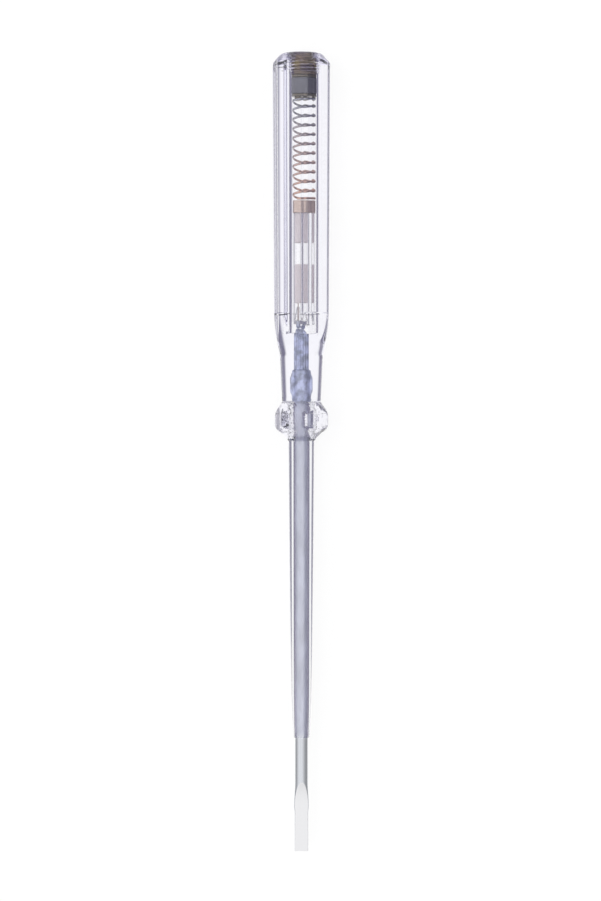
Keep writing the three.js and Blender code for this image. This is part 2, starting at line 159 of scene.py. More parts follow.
class HandleSettings(bpy.types.PropertyGroup):
    """Sizes and colour of the clear handle"""

    butt_radius: length("Butt radius", "Radius over the ridges at the butt", 6.9)
    grip_radius: length("Grip radius", "Radius over the ridges at the front of the grip", 6.6)
    knee_radius: length("Knee radius", "Radius where the grip meets the neck", 5.1)
    neck_radius: length("Neck radius", "Radius behind the guard", 4.6)
    nose_radius: length("Nose radius", "Radius of the flat front of the guard", 3.15)
    guard_radius: length("Guard radius", "Radius to the guard's six corners", 6.65)
    guard_length: length("Guard length", "From the nose to the neck", 9.3)
    guard_front_bevel: length("Front bevel", "Length of the guard's front bevel", 3.8)
    guard_rear_bevel: length("Rear bevel", "Length of the guard's rear bevel", 3.1)
    neck_length: length("Neck length", "From the guard to the knee", 11.2)
    knee_length: length("Knee length", "Over which the neck swells into the grip", 10.5)
    butt_chamfer: length("Butt chamfer", "Width of the bevel round the butt", 2.1)
    butt_bevel: length("Butt bevel", "Length of the bevel round the butt", 2.3)
    flute_depth: length("Flute depth", "Depth of each long hollow below the ridges", 0.7)
    flute_half_width: length("Flute half width", "Half the width of each long hollow", 2.4)
    bore_radius: length("Bore radius", "Radius of the bore", 3.0)
    thread_depth: length("Thread depth", "Depth of the thread in the bore's mouth", 0.18)
    thread_length: length("Thread length", "Length of the thread in the bore's mouth", 5.2)
    thread_pitch: length("Thread pitch", "Pitch of the touch cap's thread", 0.8)
    mouth_bevel: length("Mouth bevel", "Length of the bevel in the bore's mouth", 0.4)
    blade_proud: length("Blade proud", "How far the blade stands up into the bore", 1.25)
    seat_bevel: length("Seat bevel", "Length of the bevel in front of the knurled end's seat", 0.3)
    edge_reach: length("Edge rounding", "Over which the moulded edges are rounded", 0.16)
    flute_count: IntProperty(name="Flutes", description="Number of long hollows", default=6, min=3)
    tint: colour("Tint", "Colour of the moulding through its thickness", "#f1f0ff")
    density: FloatProperty(
        name="Tint density", description="Strength of the tint, per metre", default=45, min=0)
    bevel_tint: colour("Bevel tint", "Colour of the satin bevel round the butt", "#ece8ff")
    bevel_roughness: FloatProperty(
        name="Bevel roughness", description="Roughness of the satin bevel", default=0.24, min=0, max=1)


class BladeSettings(bpy.types.PropertyGroup):
    """Sizes and colour of the steel blade"""

    shank_radius: length("Shank radius", "Radius of the round shank", 1.5)
    tip_half_width: length("Tip half width", "Half the width of the tip", 1.6)
    flare_half_width: length("Flare half width", "Half the width of the blade at its widest", 1.75)
    tip_half_thickness: length("Tip half thickness", "Half the thickness of the tip", 0.3)
    root_half_thickness: length("Root half thickness", "Half the thickness at the widest place", 0.55)
    land_length: length("Land length", "From the tip to where the blade starts to widen", 8.9)
    flare_length: length("Flare length", "From the tip to the widest place", 10.8)
    ground_length: length("Ground length", "From the tip to where the ground faces run out", 16.4)
    tip_edge: length("Tip edge", "Length of the fine bevel on the tip's end", 0.08)
    wing_half_width: length("Wing half width", "Half the width over the flattened wings", 1.75)
    wing_half_thickness: length("Wing half thickness", "Half the thickness of the wings", 0.6)
    wing_length: length("Wing length", "Length of the wings", 5.6)
    wing_blend: length("Wing blend", "Over which each end of the wings runs back into the shank", 1.5)
    wing_setback: length("Wing setback", "From the guard's rear to the wings", 1.4)
    knurl_radius: length("Knurl radius", "Radius of the knurled inner end", 1.2)
    knurl_length: length("Knurl length", "Length of the knurled inner end", 9.85)
    knurl_groove: length("Knurl groove", "Depth of the knurl's grooves", 0.16)
    knurl_shoulder: length("Knurl shoulder", "Half the length over which the shank steps down", 0.15)
    ground_edge: length("Ground edge", "Rounding of the ground edges", 0.06)
    wing_edge: length("Wing edge", "Rounding of the wings' edges", 0.12)
    knurl_teeth: IntProperty(name="Knurl teeth", description="Teeth round the knurled end", default=14, min=6)
    nib_taper: FloatProperty(
        name="Nib taper", description="Share by which the inner end tapers", default=0.45, min=0, max=1)
    tip_taper: FloatProperty(
        name="Tip taper", description="Share by which the tip's bevel tapers", default=0.04, min=0, max=1)
    turn: FloatProperty(
        name="Turn", description="Turn of the flat about the tool's axis", default=math.radians(20.5),
        subtype="ANGLE")
    steel: colour("Steel", "Colour of the nickel-plated steel", "#dde0e6")
    ground_steel: colour("Ground steel", "Colour of the ground faces at the tip", "#f2f2f4")
    sleeved_steel: colour("Sleeved steel", "Colour of the shank under the sleeve", "#d6d8e5")
    held_steel: colour("Held steel", "Colour of the unplated steel inside the handle", "#d0d7f2")


class SleeveSettings(bpy.types.PropertyGroup):
    """Sizes and colour of the clear insulating sleeve"""

    rear_radius: length("Rear radius", "Outer radius at the guard", 3.02)
    front_radius: length("Front radius", "Outer radius at the front end", 1.92)
    bore_radius: length("Bore radius", "Inner radius, round the shank", 1.57)
    spigot_radius: length("Spigot radius", "Radius of the end inside the nose", 2.3)
    lip: length("Lip", "Bevel of the front end", 0.15)
    edge_corner: length("Edge corner", "Rounding of the tube's edges", 0.12)
    taper_corner: length("Taper corner", "Rounding of the corners along the taper", 4.0)
    tint: colour("Tint", "Colour of the sleeve through its wall", "#eceef8")


class StackSettings(bpy.types.PropertyGroup):
    """Sizes and colours of the cap, the resistor and the spring"""

    dome_height: length("Dome height", "Height of the touch cap's dome", 0.8)
    slot_width: length("Slot width", "Width of the cap's slot", 0.9)
    slot_depth: length("Slot depth", "Depth of the cap's slot", 1.1)
    thread_clearance: length("Thread clearance", "Between the cap's thread and the handle's", 0.12)
    thread_crest: length("Thread crest", "Height of the cap's thread over the bore's radius", 0.12)
    disc_thickness: length("Disc thickness", "Thickness of the resistor's front disc", 0.45)
    boss_radius: length("Boss radius", "Radius of the boss inside the spring", 1.45)
    barrel_corner: length("Barrel corner", "Rounding of the resistor's ends", 0.35)
    disc_corner: length("Disc corner", "Rounding of the two discs", 0.12)
    wire_radius: length("Wire radius", "Radius of the spring's wire", 0.275)
    coil_radius: length("Coil radius", "Radius of the coil at the middle of the wire", 2.125)
    coil_turns: FloatProperty(name="Turns", description="Turns of the spring", default=11.5, min=3)
    dead_turns: FloatProperty(
        name="Closed turns", description="Turns that lie shut at each end", default=0.5, min=0)
    cap_metal: colour("Cap metal", "Colour of the nickel-plated brass cap", "#d3c7a6")
    # The thread's colour is a painted gold highlight, and its darker blotches are painted dark violet shade
    # and reflection.
    thread_highlight_and_shade: colour("Thread metal", "Colour of the greasy thread of the cap", "#b3a070")
    lacquer: colour("Lacquer", "Colour of the resistor's lacquer", "#6f6f79")
    contact_metal: colour("Contact metal", "Colour of the pressed contacts", "#857c74")
    wire_metal: colour("Wire", "Colour of the spring wire at its rear end", "#a9aab4")
    wire_copper: colour("Worn wire", "Colour of the spring wire at its front end", "#d9b3a4")


class LampSettings(bpy.types.PropertyGroup):
    """Sizes and colours of the glow lamp"""

    glass_radius: length("Glass radius", "Outer radius of the glass tube", 2.0)
    glass_wall: length("Glass wall", "Wall of the glass tube", 0.35)
    electrode_radius: length("Electrode radius", "Outer radius of both electrodes", 1.5)
    electrode_wall: length("Electrode wall", "Wall of both electrodes", 0.2)
    electrode_base: length("Electrode base", "Thickness of an electrode's closed end", 0.3)
    lead_radius: length("Lead radius", "Radius of the leads", 0.25)
    cap_wall: length("Cap wall", "Wall of the lamp's metal cap", 0.15)
    cap_end: length("Cap end", "Thickness of the end of the lamp's metal cap", 0.35)
    contact_radius: length("Contact radius", "Radius of the contact on the blade", 0.9)
    seal_tip_radius: length("Seal tip radius", "Radius at the tip of the front seal", 0.6)
    seal_rim: length("Seal rim", "Length of the straight rim of the front seal", 0.7)
    clearance: length("Clearance", "Between pieces that sit in each other", 0.1)
    glass_tint: colour("Glass tint", "Colour of the lamp's glass", "#fbf8ff")
    coating: colour("Coating", "Colour of the electrodes' coating", "#fcf7f3")
    contact_metal: colour("Contact metal", "Colour of the contact on the blade", "#ccd1e8")
    copper: colour("Copper", "Colour of the lamp's cap and leads", "#e6d0c3")


class StageSettings(bpy.types.PropertyGroup):
    """Camera, floor and light"""

    roll: FloatProperty(
        name="View turn", description="Turn of the camera about the tool's axis", default=math.radians(17),
        subtype="ANGLE")
    photo_height: length("Height in view", "Length that fills the picture from top to bottom", 214.3)
    photo_shift: length("View shift", "How far the picture's middle lies behind the tool's", 0.24)
    side_shift: length("Side shift", "How far the tool lies to the right of the picture's middle", 0.22)
    lens: FloatProperty(
        name="Lens", description="Focal length of the camera, in millimetres", default=120, min=1)
    floor_colour: colour("Floor", "Colour of the floor and the backdrop", "#ffffff")
    panel_tilt: FloatProperty(
        name="Panel tilt", description="Turn of the floor's light panel about the tool's axis",
        default=math.radians(20), subtype="ANGLE")
    panel_reach: FloatProperty(
        name="Panel reach", description="How far the panel's light reaches along the tool",
        default=math.radians(58), subtype="ANGLE")
    shade: colour("Shade", "Colour of the dim sides of the room in clear plastic", "#7a778e")


def smooth_min(first, second, reach):
    """The lesser of two surfaces, rounded where they cross: h runs from 0 to 1 while second less first
    runs over the reach, and the result is second + (first - second) h - reach h (1 - h)."""
    h = np.clip(0.5 + 0.5 * (second - first) / reach, 0, 1)
    return second + (first - second) * h - reach * h * (1 - h)


def smooth_max(first, second, reach):
    """The greater of two surfaces, rounded where they cross."""
    return -smooth_min(-first, -second, reach)


def ease(start, end, value):
    """0 before start and 1 after end, with the curve 3 t squared less 2 t cubed between them."""
    t = np.clip((value - start) / (end - start), 0, 1)
    return t * t * (3 - 2 * t)


def rounded(profile, radius, looped=False):
    """A turned profile, an array of (radius, station) pairs, with its corners rounded. Each corner becomes
    the parabola from a point set back by the radius on one side to a point set back as far on the other,
    at most 0.4 of either side, with one more point a quarter of the setback further out on both sides,
    so that the flat faces keep a flat shade."""
    points = np.asarray(profile, float)
    before = np.roll(points, 1, axis=0) - points
    after = np.roll(points, -1, axis=0) - points
    before_length = np.linalg.norm(before, axis=1, keepdims=True)
    after_length = np.linalg.norm(after, axis=1, keepdims=True)
    radius = np.broadcast_to(np.asarray(radius, float).reshape(-1, 1), (len(points), 1))
    setback = np.minimum(radius, 0.4 * np.minimum(before_length, after_length))
    start = points + before / before_length * setback
    end = points + after / after_length * setback
    t = np.linspace(0, 1, ARC_STEPS)[None, :, None]
    arc = (1 - t) ** 2 * start[:, None] + 2 * t * (1 - t) * points[:, None] + t ** 2 * end[:, None]
    support_in = points + before / before_length * setback * 1.25
    support_out = points + after / after_length * setback * 1.25
    corners = np.concatenate([support_in[:, None], arc, support_out[:, None]], axis=1)
    if looped:
        return corners.reshape(-1, 2)
    return np.concatenate([points[:1], corners[1:-1].reshape(-1, 2), points[-1:]])


def finer(profile, longest):
    """A profile with extra points, so that no step along it is longer than the given length, which is one
    number or one for each step. The new points are spread evenly between the old ones by their distance."""
    points = np.asarray(profile, float)
    steps = np.linalg.norm(np.diff(points, axis=0), axis=1)
    counts = np.maximum(np.ceil(steps / longest), 1).astype(int)
    start = np.repeat(np.arange(len(steps)), counts)
    part = np.arange(counts.sum()) - np.repeat(np.cumsum(counts) - counts, counts)
    mix = (part / counts[start])[:, None]
    return np.concatenate([points[start] * (1 - mix) + points[start + 1] * mix, points[-1:]])


def mesh_piece(name, vertices, faces):
    """A smooth-shaded object at the origin with its place in its mesh."""
    mesh = bpy.data.meshes.new(name)
    mesh.from_pydata(vertices.tolist(), [], faces)
    mesh.validate()
    mesh.shade_smooth()
    piece = bpy.data.objects.new(name, mesh)
    bpy.context.scene.collection.objects.link(piece)
    return piece


def skin(name, radii, stations, angles, looped=False):
    """A closed skin round the tool's axis. The point of row i and column j lies at its radius times the sine
    and cosine of its angle across the tool, and at its row's station along it. The first and last rows are
    poles on the axis; a looped skin has none, and joins its last row to its first."""
    radii = np.broadcast_to(np.asarray(radii, float).reshape(len(stations), -1), (len(stations), len(angles)))
    along = np.broadcast_to(np.asarray(stations, float)[:, None], radii.shape) + TIP
    grid = np.stack([radii * np.sin(angles), along, radii * np.cos(angles) + AXIS_HEIGHT], axis=-1)
    rings = grid if looped else grid[1:-1]
    rows, columns = rings.shape[:2]
    index = np.arange(rows * columns).reshape(rows, columns)
    beside = np.roll(index, -1, axis=1)
    lower, upper = (slice(None), slice(None)) if looped else (slice(0, -1), slice(1, None))
    above = np.roll(index, -1, axis=0) if looped else index[upper]
    above_beside = np.roll(beside, -1, axis=0) if looped else beside[upper]
    quads = np.stack([index[lower], beside[lower], above_beside, above], axis=-1).reshape(-1, 4)
    vertices = rings.reshape(-1, 3)
    faces = quads.tolist()
    if not looped:
        front = np.full(columns, rows * columns)
        vertices = np.concatenate([vertices, grid[0, :1], grid[-1, :1]])
        faces += np.stack([front, beside[0], index[0]], axis=-1).tolist()
        faces += np.stack([index[-1], beside[-1], front + 1], axis=-1).tolist()
    return mesh_piece(name, vertices, faces)


def turned(name, profile, corner, columns=ROUND_COLUMNS, looped=False):
    """A turned piece: its profile, with rounded corners, swept round the tool's axis."""
    outline = rounded(profile, corner, looped)
    angles = np.arange(columns) * 2 * math.pi / columns
    return skin(name, outline[:, 0], outline[:, 1], angles, looped)


def rod(radius, node):
    """The profile of a plain rod between the ends of a CAD node."""
    return [[0, front_of(node)], [radius, front_of(node)], [radius, rear_of(node)], [0, rear_of(node)]]


def tube(inner, outer, node):
    """The profile of a plain tube between the ends of a CAD node."""
    return [[inner, front_of(node)], [outer, front_of(node)], [outer, rear_of(node)], [inner, rear_of(node)]]


def dress(piece, node, material):
    """Puts a finished piece in the place of its CAD node, on the node's body."""
    piece.data.materials.append(material)
    if "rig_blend" not in piece:
        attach(piece, frame["nodes"][node]["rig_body"])
    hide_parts(node)
    return piece


def add_node(tree, kind, inputs=None, **settings):
    """Adds a shader node, with its settings, and the value or the link of each input."""
    node = tree.nodes.new(kind)
    for name, value in settings.items():
        setattr(node, name, value)
    for name, value in (inputs or {}).items():
        if isinstance(value, bpy.types.NodeSocket):
            tree.links.new(value, node.inputs[name])
        else:
            node.inputs[name].default_value = value
    return node


def new_material(name):
    """An empty node material, with its tree and its output."""
    material = bpy.data.materials.new(name)
    material.use_nodes = True
    material.node_tree.nodes.clear()
    output = add_node(material.node_tree, "ShaderNodeOutputMaterial")
    return material, material.node_tree, output


def rgba(rgb):
    """A colour with full opacity, for a colour socket."""
    return (rgb[0], rgb[1], rgb[2], 1)


def find_node(material, kind):
    """The first node of a kind in a material."""
    return next(node for node in material.node_tree.nodes if node.type == kind)


def object_place(tree):
    """Object coordinates, as one output for each axis."""
    place = add_node(tree, "ShaderNodeTexCoord").outputs["Object"]
    return add_node(tree, "ShaderNodeSeparateXYZ", {0: place}).outputs


def pattern_place(tree, grain):
    """Object coordinates counted in grains. The grain is the size of one repeat across, along and up, in
    millimetres."""
    place = add_node(tree, "ShaderNodeTexCoord").outputs["Object"]
    scale = [1 / (size * MM) for size in grain]
    return add_node(tree, "ShaderNodeMapping", {"Vector": place, "Scale": scale}).outputs["Vector"]


def darker(rgb, share):
    """A colour at a share of its brightness, or with a share for each channel."""
    return [float(part) for part in np.array(rgb) * share]


def clear_finish(name, tint, ior, roughness, density, grain, relief):
    """A clear solid that takes its tint from its thickness. Its waves are as wide as the grain and as high as
    the relief, and its roughness runs from 0.6 to 1.4 of the given one over them. The lamps' rays pass to
    what is inside through a film whose colour is the root of the tint."""
    material, tree, output = new_material(name)
    waves = add_node(tree, "ShaderNodeTexNoise", {
        "Vector": pattern_place(tree, grain), "Scale": 1.0, "Detail": 2.0})
    bump = add_node(tree, "ShaderNodeBump", {
        "Height": waves.outputs["Fac"], "Strength": 1.0, "Distance": relief})
    body = add_node(tree, "ShaderNodeBsdfPrincipled", {
        "Base Color": (1, 1, 1, 1), "IOR": ior, "Transmission Weight": 1.0, "Normal": bump.outputs["Normal"]})
    smear = add_node(tree, "ShaderNodeMapRange", {
        "Value": waves.outputs["Fac"], "To Min": roughness * 0.6, "To Max": roughness * 1.4})
    tree.links.new(smear.outputs["Result"], body.inputs["Roughness"])
    film = add_node(tree, "ShaderNodeBsdfTransparent", {"Color": rgba(np.sqrt(tint))})
    path = add_node(tree, "ShaderNodeLightPath")
    mixed = add_node(tree, "ShaderNodeMixShader", {
        0: path.outputs["Is Shadow Ray"], 1: body.outputs["BSDF"], 2: film.outputs["BSDF"]})
    tree.links.new(mixed.outputs["Shader"], output.inputs["Surface"])
    volume = add_node(tree, "ShaderNodeVolumeAbsorption", {"Color": rgba(tint), "Density": density})
    tree.links.new(volume.outputs["Volume"], output.inputs["Volume"])
    return material


def metal_finish(name, base, worn, roughness, grain, relief, metallic=1.0):
    """A metal whose tone runs from base to worn, and its roughness from 0.7 to 1.3 of the given one, along
    tool marks of the grain's size and the relief's height."""
    material, tree, output = new_material(name)
    marks = add_node(tree, "ShaderNodeTexNoise", {
        "Vector": pattern_place(tree, grain), "Scale": 1.0, "Detail": 3.0})
    tone = add_node(tree, "ShaderNodeMix", {
        "Factor": marks.outputs["Fac"], "A": rgba(base), "B": rgba(worn)}, data_type="RGBA")
    bump = add_node(tree, "ShaderNodeBump", {
        "Height": marks.outputs["Fac"], "Strength": 0.6, "Distance": relief})
    polish = add_node(tree, "ShaderNodeMapRange", {
        "Value": marks.outputs["Fac"], "To Min": roughness * 0.7, "To Max": roughness * 1.3})
    body = add_node(tree, "ShaderNodeBsdfPrincipled", {
        "Base Color": tone.outputs["Result"], "Metallic": metallic, "Roughness": polish.outputs["Result"],
        "Normal": bump.outputs["Normal"]})
    tree.links.new(body.outputs["BSDF"], output.inputs["Surface"])
    return material


def mix_into(material, socket, factor, value, data_type="FLOAT"):
    """Mixes a second value over what a material's shader has on a socket, by a factor from 0 to 1."""
    body = find_node(material, "BSDF_PRINCIPLED")
    goal = body.inputs[socket]
    before = goal.links[0].from_socket if goal.links else goal.default_value
    mixed = add_node(material.node_tree, "ShaderNodeMix", {
        "Factor": factor, "A": before, "B": value}, data_type=data_type)
    material.node_tree.links.new(mixed.outputs["Result"], goal)


def shade_along(material, light, dark, grain, start, end, roughness, metallic):
    """Mixes a second finish, blotched from light to dark, over a metal between two places along the tool,
    and beyond the second."""
    tree = material.node_tree
    blotches = add_node(tree, "ShaderNodeTexNoise", {
        "Vector": pattern_place(tree, grain), "Scale": 1.0, "Detail": 3.0})
    patches = add_node(tree, "ShaderNodeMapRange", {
        "Value": blotches.outputs["Fac"], "From Min": 0.36, "From Max": 0.64})
    second = add_node(tree, "ShaderNodeMix", {
        "Factor": patches.outputs["Result"], "A": rgba(light), "B": rgba(dark)}, data_type="RGBA")
    reach = add_node(tree, "ShaderNodeMapRange", {
        "Value": object_place(tree)["Y"], "From Min": start, "From Max": end}).outputs["Result"]
    mix_into(material, "Base Color", reach, second.outputs["Result"], "RGBA")
    mix_into(material, "Roughness", reach, roughness)
    mix_into(material, "Metallic", reach, metallic)


def shade_marked(material, mark, light, roughness):
    """Mixes a plain second tone and polish over a metal where the piece's own mark is 1."""
    marked = add_node(material.node_tree, "ShaderNodeAttribute", attribute_name=mark).outputs["Fac"]
    mix_into(material, "Base Color", marked, rgba(light), "RGBA")
    mix_into(material, "Roughness", marked, roughness)


def handle_places(settings):
    """The stations at which the guard, the neck and the knee end, counted from the tip."""
    guard_rear = front_of("handle") + settings.guard_length
    neck_rear = guard_rear + settings.neck_length
    return guard_rear, neck_rear, neck_rear + settings.knee_length


def grip_slope(settings):
    """How much the grip's radius grows for each length towards the butt."""
    grip_front = handle_places(settings)[2]
    grip_length = rear_of("handle") - settings.butt_chamfer - grip_front
    return (settings.butt_radius - settings.grip_radius) / grip_length


def handle_outline(settings):
    """The turned profile of the handle, from the nose over the outside to the butt, and the rounding of each
    of its corners. The knee's radius follows the first quarter of a sine."""
    front = front_of("handle")
    rear = rear_of("handle")
    guard_rear, neck_rear = handle_places(settings)[:2]
    rise = GUARD_RISE_SHARES * [settings.guard_radius - settings.nose_radius, settings.guard_front_bevel]
    fall = GUARD_FALL_SHARES * [settings.guard_radius - settings.neck_radius, settings.guard_rear_bevel]
    t = np.linspace(0, 1, KNEE_POINTS)
    knee = np.stack([
        settings.knee_radius + (settings.grip_radius - settings.knee_radius) * np.sin(t * math.pi / 2),
        neck_rear + settings.knee_length * t], axis=1)
    butt = np.array([
        [settings.butt_radius - grip_slope(settings) * settings.butt_chamfer / 2,
         rear - 1.5 * settings.butt_chamfer],
        [settings.butt_radius, rear - settings.butt_bevel],
        [settings.butt_radius - settings.butt_chamfer, rear]])
    outline = np.concatenate([
        rise + [settings.nose_radius, front],
        fall + [settings.neck_radius, guard_rear - settings.guard_rear_bevel],
        knee, butt])
    corners = np.full(len(outline), GUARD_CORNER)
    corners[0] = BORE_CORNER
    corners[1 - len(knee) - len(butt):-len(butt)] = KNEE_CORNER
    corners[1 - len(butt):] = BUTT_CORNER
    return outline, corners


def handle_outside(settings):
    """The outer rows' stations and radii, and the angles of the columns. The radius of each column is the
    smooth least of the turned profile, of the six flutes, each a cylinder of radius c whose axis lies at
    distance d from the tool's, at d cos a - root(c squared - d squared sin squared a) for the angle a from
    the flute's middle, and of the guard's hexagon, at its apothem over cos a."""
    front = front_of("handle")
    rear = rear_of("handle")
    guard_rear, neck_rear, grip_front = handle_places(settings)
    outline, corners = handle_outline(settings)
    padded = np.concatenate([[[0, front]], outline, [[0, rear]]])
    rows = rounded(padded, np.concatenate([[0], corners, [0]]))[1:-1]
    middles = (rows[1:, 1] + rows[:-1, 1]) / 2
    zones = [middles < end for end in (
        guard_rear, neck_rear, grip_front, rear - 1.5 * settings.butt_chamfer)]
    rows = finer(rows, np.select(zones, [GUARD_STEP, NECK_STEP, KNEE_STEP, GRIP_STEP], BUTT_STEP))
    u = (np.arange(COLUMNS_PER_FLUTE) + 0.5) / COLUMNS_PER_FLUTE * 2 - 1
    sector = math.pi / settings.flute_count
    within = sector * (u - COLUMN_CROWDING * np.sin(2 * math.pi * u) / math.pi)
    middles_of_flutes = np.arange(settings.flute_count) * 2 * sector
    angles = (middles_of_flutes[:, None] + within[None, :]).ravel()
    off_middle = np.tile(within, settings.flute_count)
    drop = settings.grip_radius - math.sqrt(settings.grip_radius ** 2 - settings.flute_half_width ** 2)
    hollow = settings.flute_depth - drop
    cutter = (settings.flute_half_width ** 2 + hollow ** 2) / (2 * hollow)
    station = rows[:, 1][:, None]
    distance = (settings.grip_radius - settings.flute_depth + cutter
                + grip_slope(settings) * (station - grip_front))
    flute = distance * np.cos(off_middle) - np.sqrt(cutter ** 2 - (distance * np.sin(off_middle)) ** 2)
    hexagon = settings.guard_radius * math.cos(sector) / np.cos(off_middle)
    limit = np.where(station < neck_rear, hexagon, flute)
    return rows[:, 1], smooth_min(rows[:, 0][:, None], limit, settings.edge_reach), angles


def handle_bore(settings, angles):
    """The inner rows' stations and radii, from the butt's mouth through the bore, the seat of the blade and
    the socket of the sleeve to the nose. The thread's groove follows half of 1 plus the cosine of the turn,
    which is the station over the pitch less the angle, and it is cut through the mouth as well."""
    blade = bpy.context.scene.tester_blade
    sleeve = bpy.context.scene.tester_sleeve
    front = front_of("handle")
    rear = rear_of("handle")
    floor = rear_of("blade") - settings.blade_proud
    knurl_front = rear_of("blade") - blade.knurl_length
    knurl_seat = blade.knurl_radius - blade.knurl_groove - BOND
    shank_seat = blade.shank_radius - BOND
    socket = sleeve.spigot_radius - BOND
    socket_rear = rear_of("blade_sleeve") - BOND
    thread_front = rear - settings.thread_length
    bore = np.array([
        [settings.bore_radius + 2 * settings.thread_depth, rear],
        [settings.bore_radius + settings.thread_depth, rear],
        [settings.bore_radius, rear - settings.mouth_bevel],
        [settings.bore_radius, thread_front],
        [settings.bore_radius, floor],
        [knurl_seat, floor],
        [knurl_seat, knurl_front],
        [shank_seat, knurl_front - settings.seat_bevel],
        [shank_seat, socket_rear],
        [socket, socket_rear],
        [socket, front],
        [(sleeve.spigot_radius + settings.nose_radius) / 2, front],
    ])
    rows = rounded(bore, BORE_CORNER)
    threaded = (rows[:, 1] > thread_front) | np.roll(rows[:, 1] > thread_front, 1)
    fine = finer(rows[threaded], settings.thread_pitch / THREAD_STEPS)
    rows = np.concatenate([fine, rows[~threaded]])
    bare = rows[:, 0][:, None]
    station = rows[:, 1][:, None]
    turn = 2 * math.pi * (station - rear) / settings.thread_pitch - angles[None, :]
    on_thread = ease(thread_front, thread_front + settings.thread_pitch, station)
    groove = settings.thread_depth * (1 + np.cos(turn)) / 2 * on_thread
    cut = np.maximum(bare, settings.bore_radius + groove)
    return rows[:, 1], np.where(bare > settings.bore_radius - BOND, cut, bare)


def handle_finish(settings):
    """The handle's finish: waves all over, ripples on the guard and a satin bevel round the butt."""
    # Cellulose acetate, injection moulded and polished: glass clear with a violet cast in its depth, and
    # slow waves in its surface where the melt has flowed. The mould has rippled the guard.
    material = clear_finish(
        "polished_clear_acetate", settings.tint, ior=1.48, roughness=0.012, density=settings.density,
        grain=(5.5556, 16.667, 5.5556), relief=0.015 * MM)
    tree = material.node_tree
    along = object_place(tree)["Y"]
    guard_rear = TIP + handle_places(settings)[0]
    at_guard = add_node(tree, "ShaderNodeMapRange", {
        "Value": along, "From Min": guard_rear + 2 * MM, "From Max": guard_rear - 1 * MM})
    ripples = add_node(tree, "ShaderNodeTexNoise", {
        "Vector": pattern_place(tree, (1.5385, 1.5385, 1.5385)), "Scale": 1.0, "Detail": 2.0})
    height = add_node(tree, "ShaderNodeMath", {
        0: ripples.outputs["Fac"], 1: at_guard.outputs["Result"]}, operation="MULTIPLY")
    rippled = add_node(tree, "ShaderNodeBump", {
        "Height": height.outputs["Value"], "Distance": 0.2 * MM,
        "Normal": find_node(material, "BUMP").outputs["Normal"]})
    body = find_node(material, "BSDF_PRINCIPLED")
    tree.links.new(rippled.outputs["Normal"], body.inputs["Normal"])
    bevel_front = TIP + rear_of("handle") - settings.butt_bevel
    at_butt = add_node(tree, "ShaderNodeMapRange", {
        "Value": along, "From Min": bevel_front - 0.2 * MM, "From Max": bevel_front + 0.2 * MM})
    mix_into(material, "Roughness", at_butt.outputs["Result"], settings.bevel_roughness)
    mix_into(material, "Base Color", at_butt.outputs["Result"], rgba(settings.bevel_tint), "RGBA")
    return material


class TESTER_OT_handle(bpy.types.Operator):
    """Builds the clear fluted handle"""

    bl_idname = "tester.handle"
    bl_label = "Handle"

    def execute(self, context):
        """Joins the outside and the bore into one closed moulding."""
        settings = context.scene.tester_handle
        outer_stations, outer_radii, angles = handle_outside(settings)
        inner_stations, inner_radii = handle_bore(settings, angles)
        radii = np.concatenate([outer_radii, inner_radii])
        stations = np.concatenate([outer_stations, inner_stations])
        piece = skin("handle_moulding", radii, stations, angles, looped=True)
        dress(piece, "handle", handle_finish(settings))
        return {"FINISHED"}


def blade_places(settings):
    """The stations of the wings' front and rear, of the knurl's front and of the blade's inner end."""
    guard_rear = handle_places(bpy.context.scene.tester_handle)[0]
    wing_front = guard_rear + settings.wing_setback
    total = rear_of("blade")
    return wing_front, wing_front + settings.wing_length, total - settings.knurl_length, total


def blade_stations(settings):
    """The blade's rows, close together where it is ground, winged, stepped or tapered."""
    wing_front, wing_rear, knurl_front, total = blade_places(settings)
    nib_front = total - settings.knurl_radius / 2
    return np.unique(np.concatenate([
        np.array([0, 0.375, 1]) * settings.tip_edge,
        np.arange(0.3, settings.ground_length / MM + 1, 0.2) * MM,
        np.linspace(settings.ground_length + 1 * MM, wing_front - 1 * MM, 10),
        np.linspace(wing_front - 0.6 * MM, wing_rear + 0.6 * MM, 40),
        np.linspace(knurl_front - 0.4 * MM, knurl_front + 0.4 * MM, 12),
        np.linspace(knurl_front + 1 * MM, nib_front, 6),
        np.linspace(nib_front, total, 6),
    ]))


def ground_shank(settings, station, across, square):
    """The shank and its ground end: the smooth least of an ellipse, whose half width follows the flare, and
    of two flats at a half thickness over the cosine of the angle from the flat's normal. Also returns
    where the flats are."""
    flare = settings.flare_half_width
    half_width = (
        settings.tip_half_width
        + (flare - settings.tip_half_width) * ease(settings.land_length, settings.flare_length, station)
        - (flare - settings.shank_radius) * ease(settings.flare_length, settings.ground_length, station))
    ellipse = 1 / np.sqrt((square / settings.shank_radius) ** 2 + (across / half_width) ** 2)
    run_out = (station - settings.flare_length) / (settings.ground_length - settings.flare_length)
    half_thickness = (
        settings.tip_half_thickness
        + (settings.root_half_thickness - settings.tip_half_thickness)
        * np.clip(station / settings.flare_length, 0, 1)
        + (settings.shank_radius - settings.root_half_thickness) * np.clip(run_out, 0, None) ** 2)
    flat = half_thickness / square
    ground = (flat < ellipse) & (station < settings.ground_length)
    return smooth_min(ellipse, flat, settings.ground_edge), ground


def with_wings(settings, station, across, square, radii):
    """The shank with its wings: two more pairs of flats, blended in at both ends."""
    wing_front, wing_rear = blade_places(settings)[:2]
    swell = (ease(wing_front, wing_front + settings.wing_blend, station)
             * (1 - ease(wing_rear - settings.wing_blend, wing_rear, station)))
    reach = settings.shank_radius + (settings.wing_half_width - settings.shank_radius) * swell
    wings = smooth_min(reach / across, settings.wing_half_thickness / square, settings.wing_edge)
    return np.where(swell > 0, smooth_max(radii, wings, settings.wing_edge), radii)


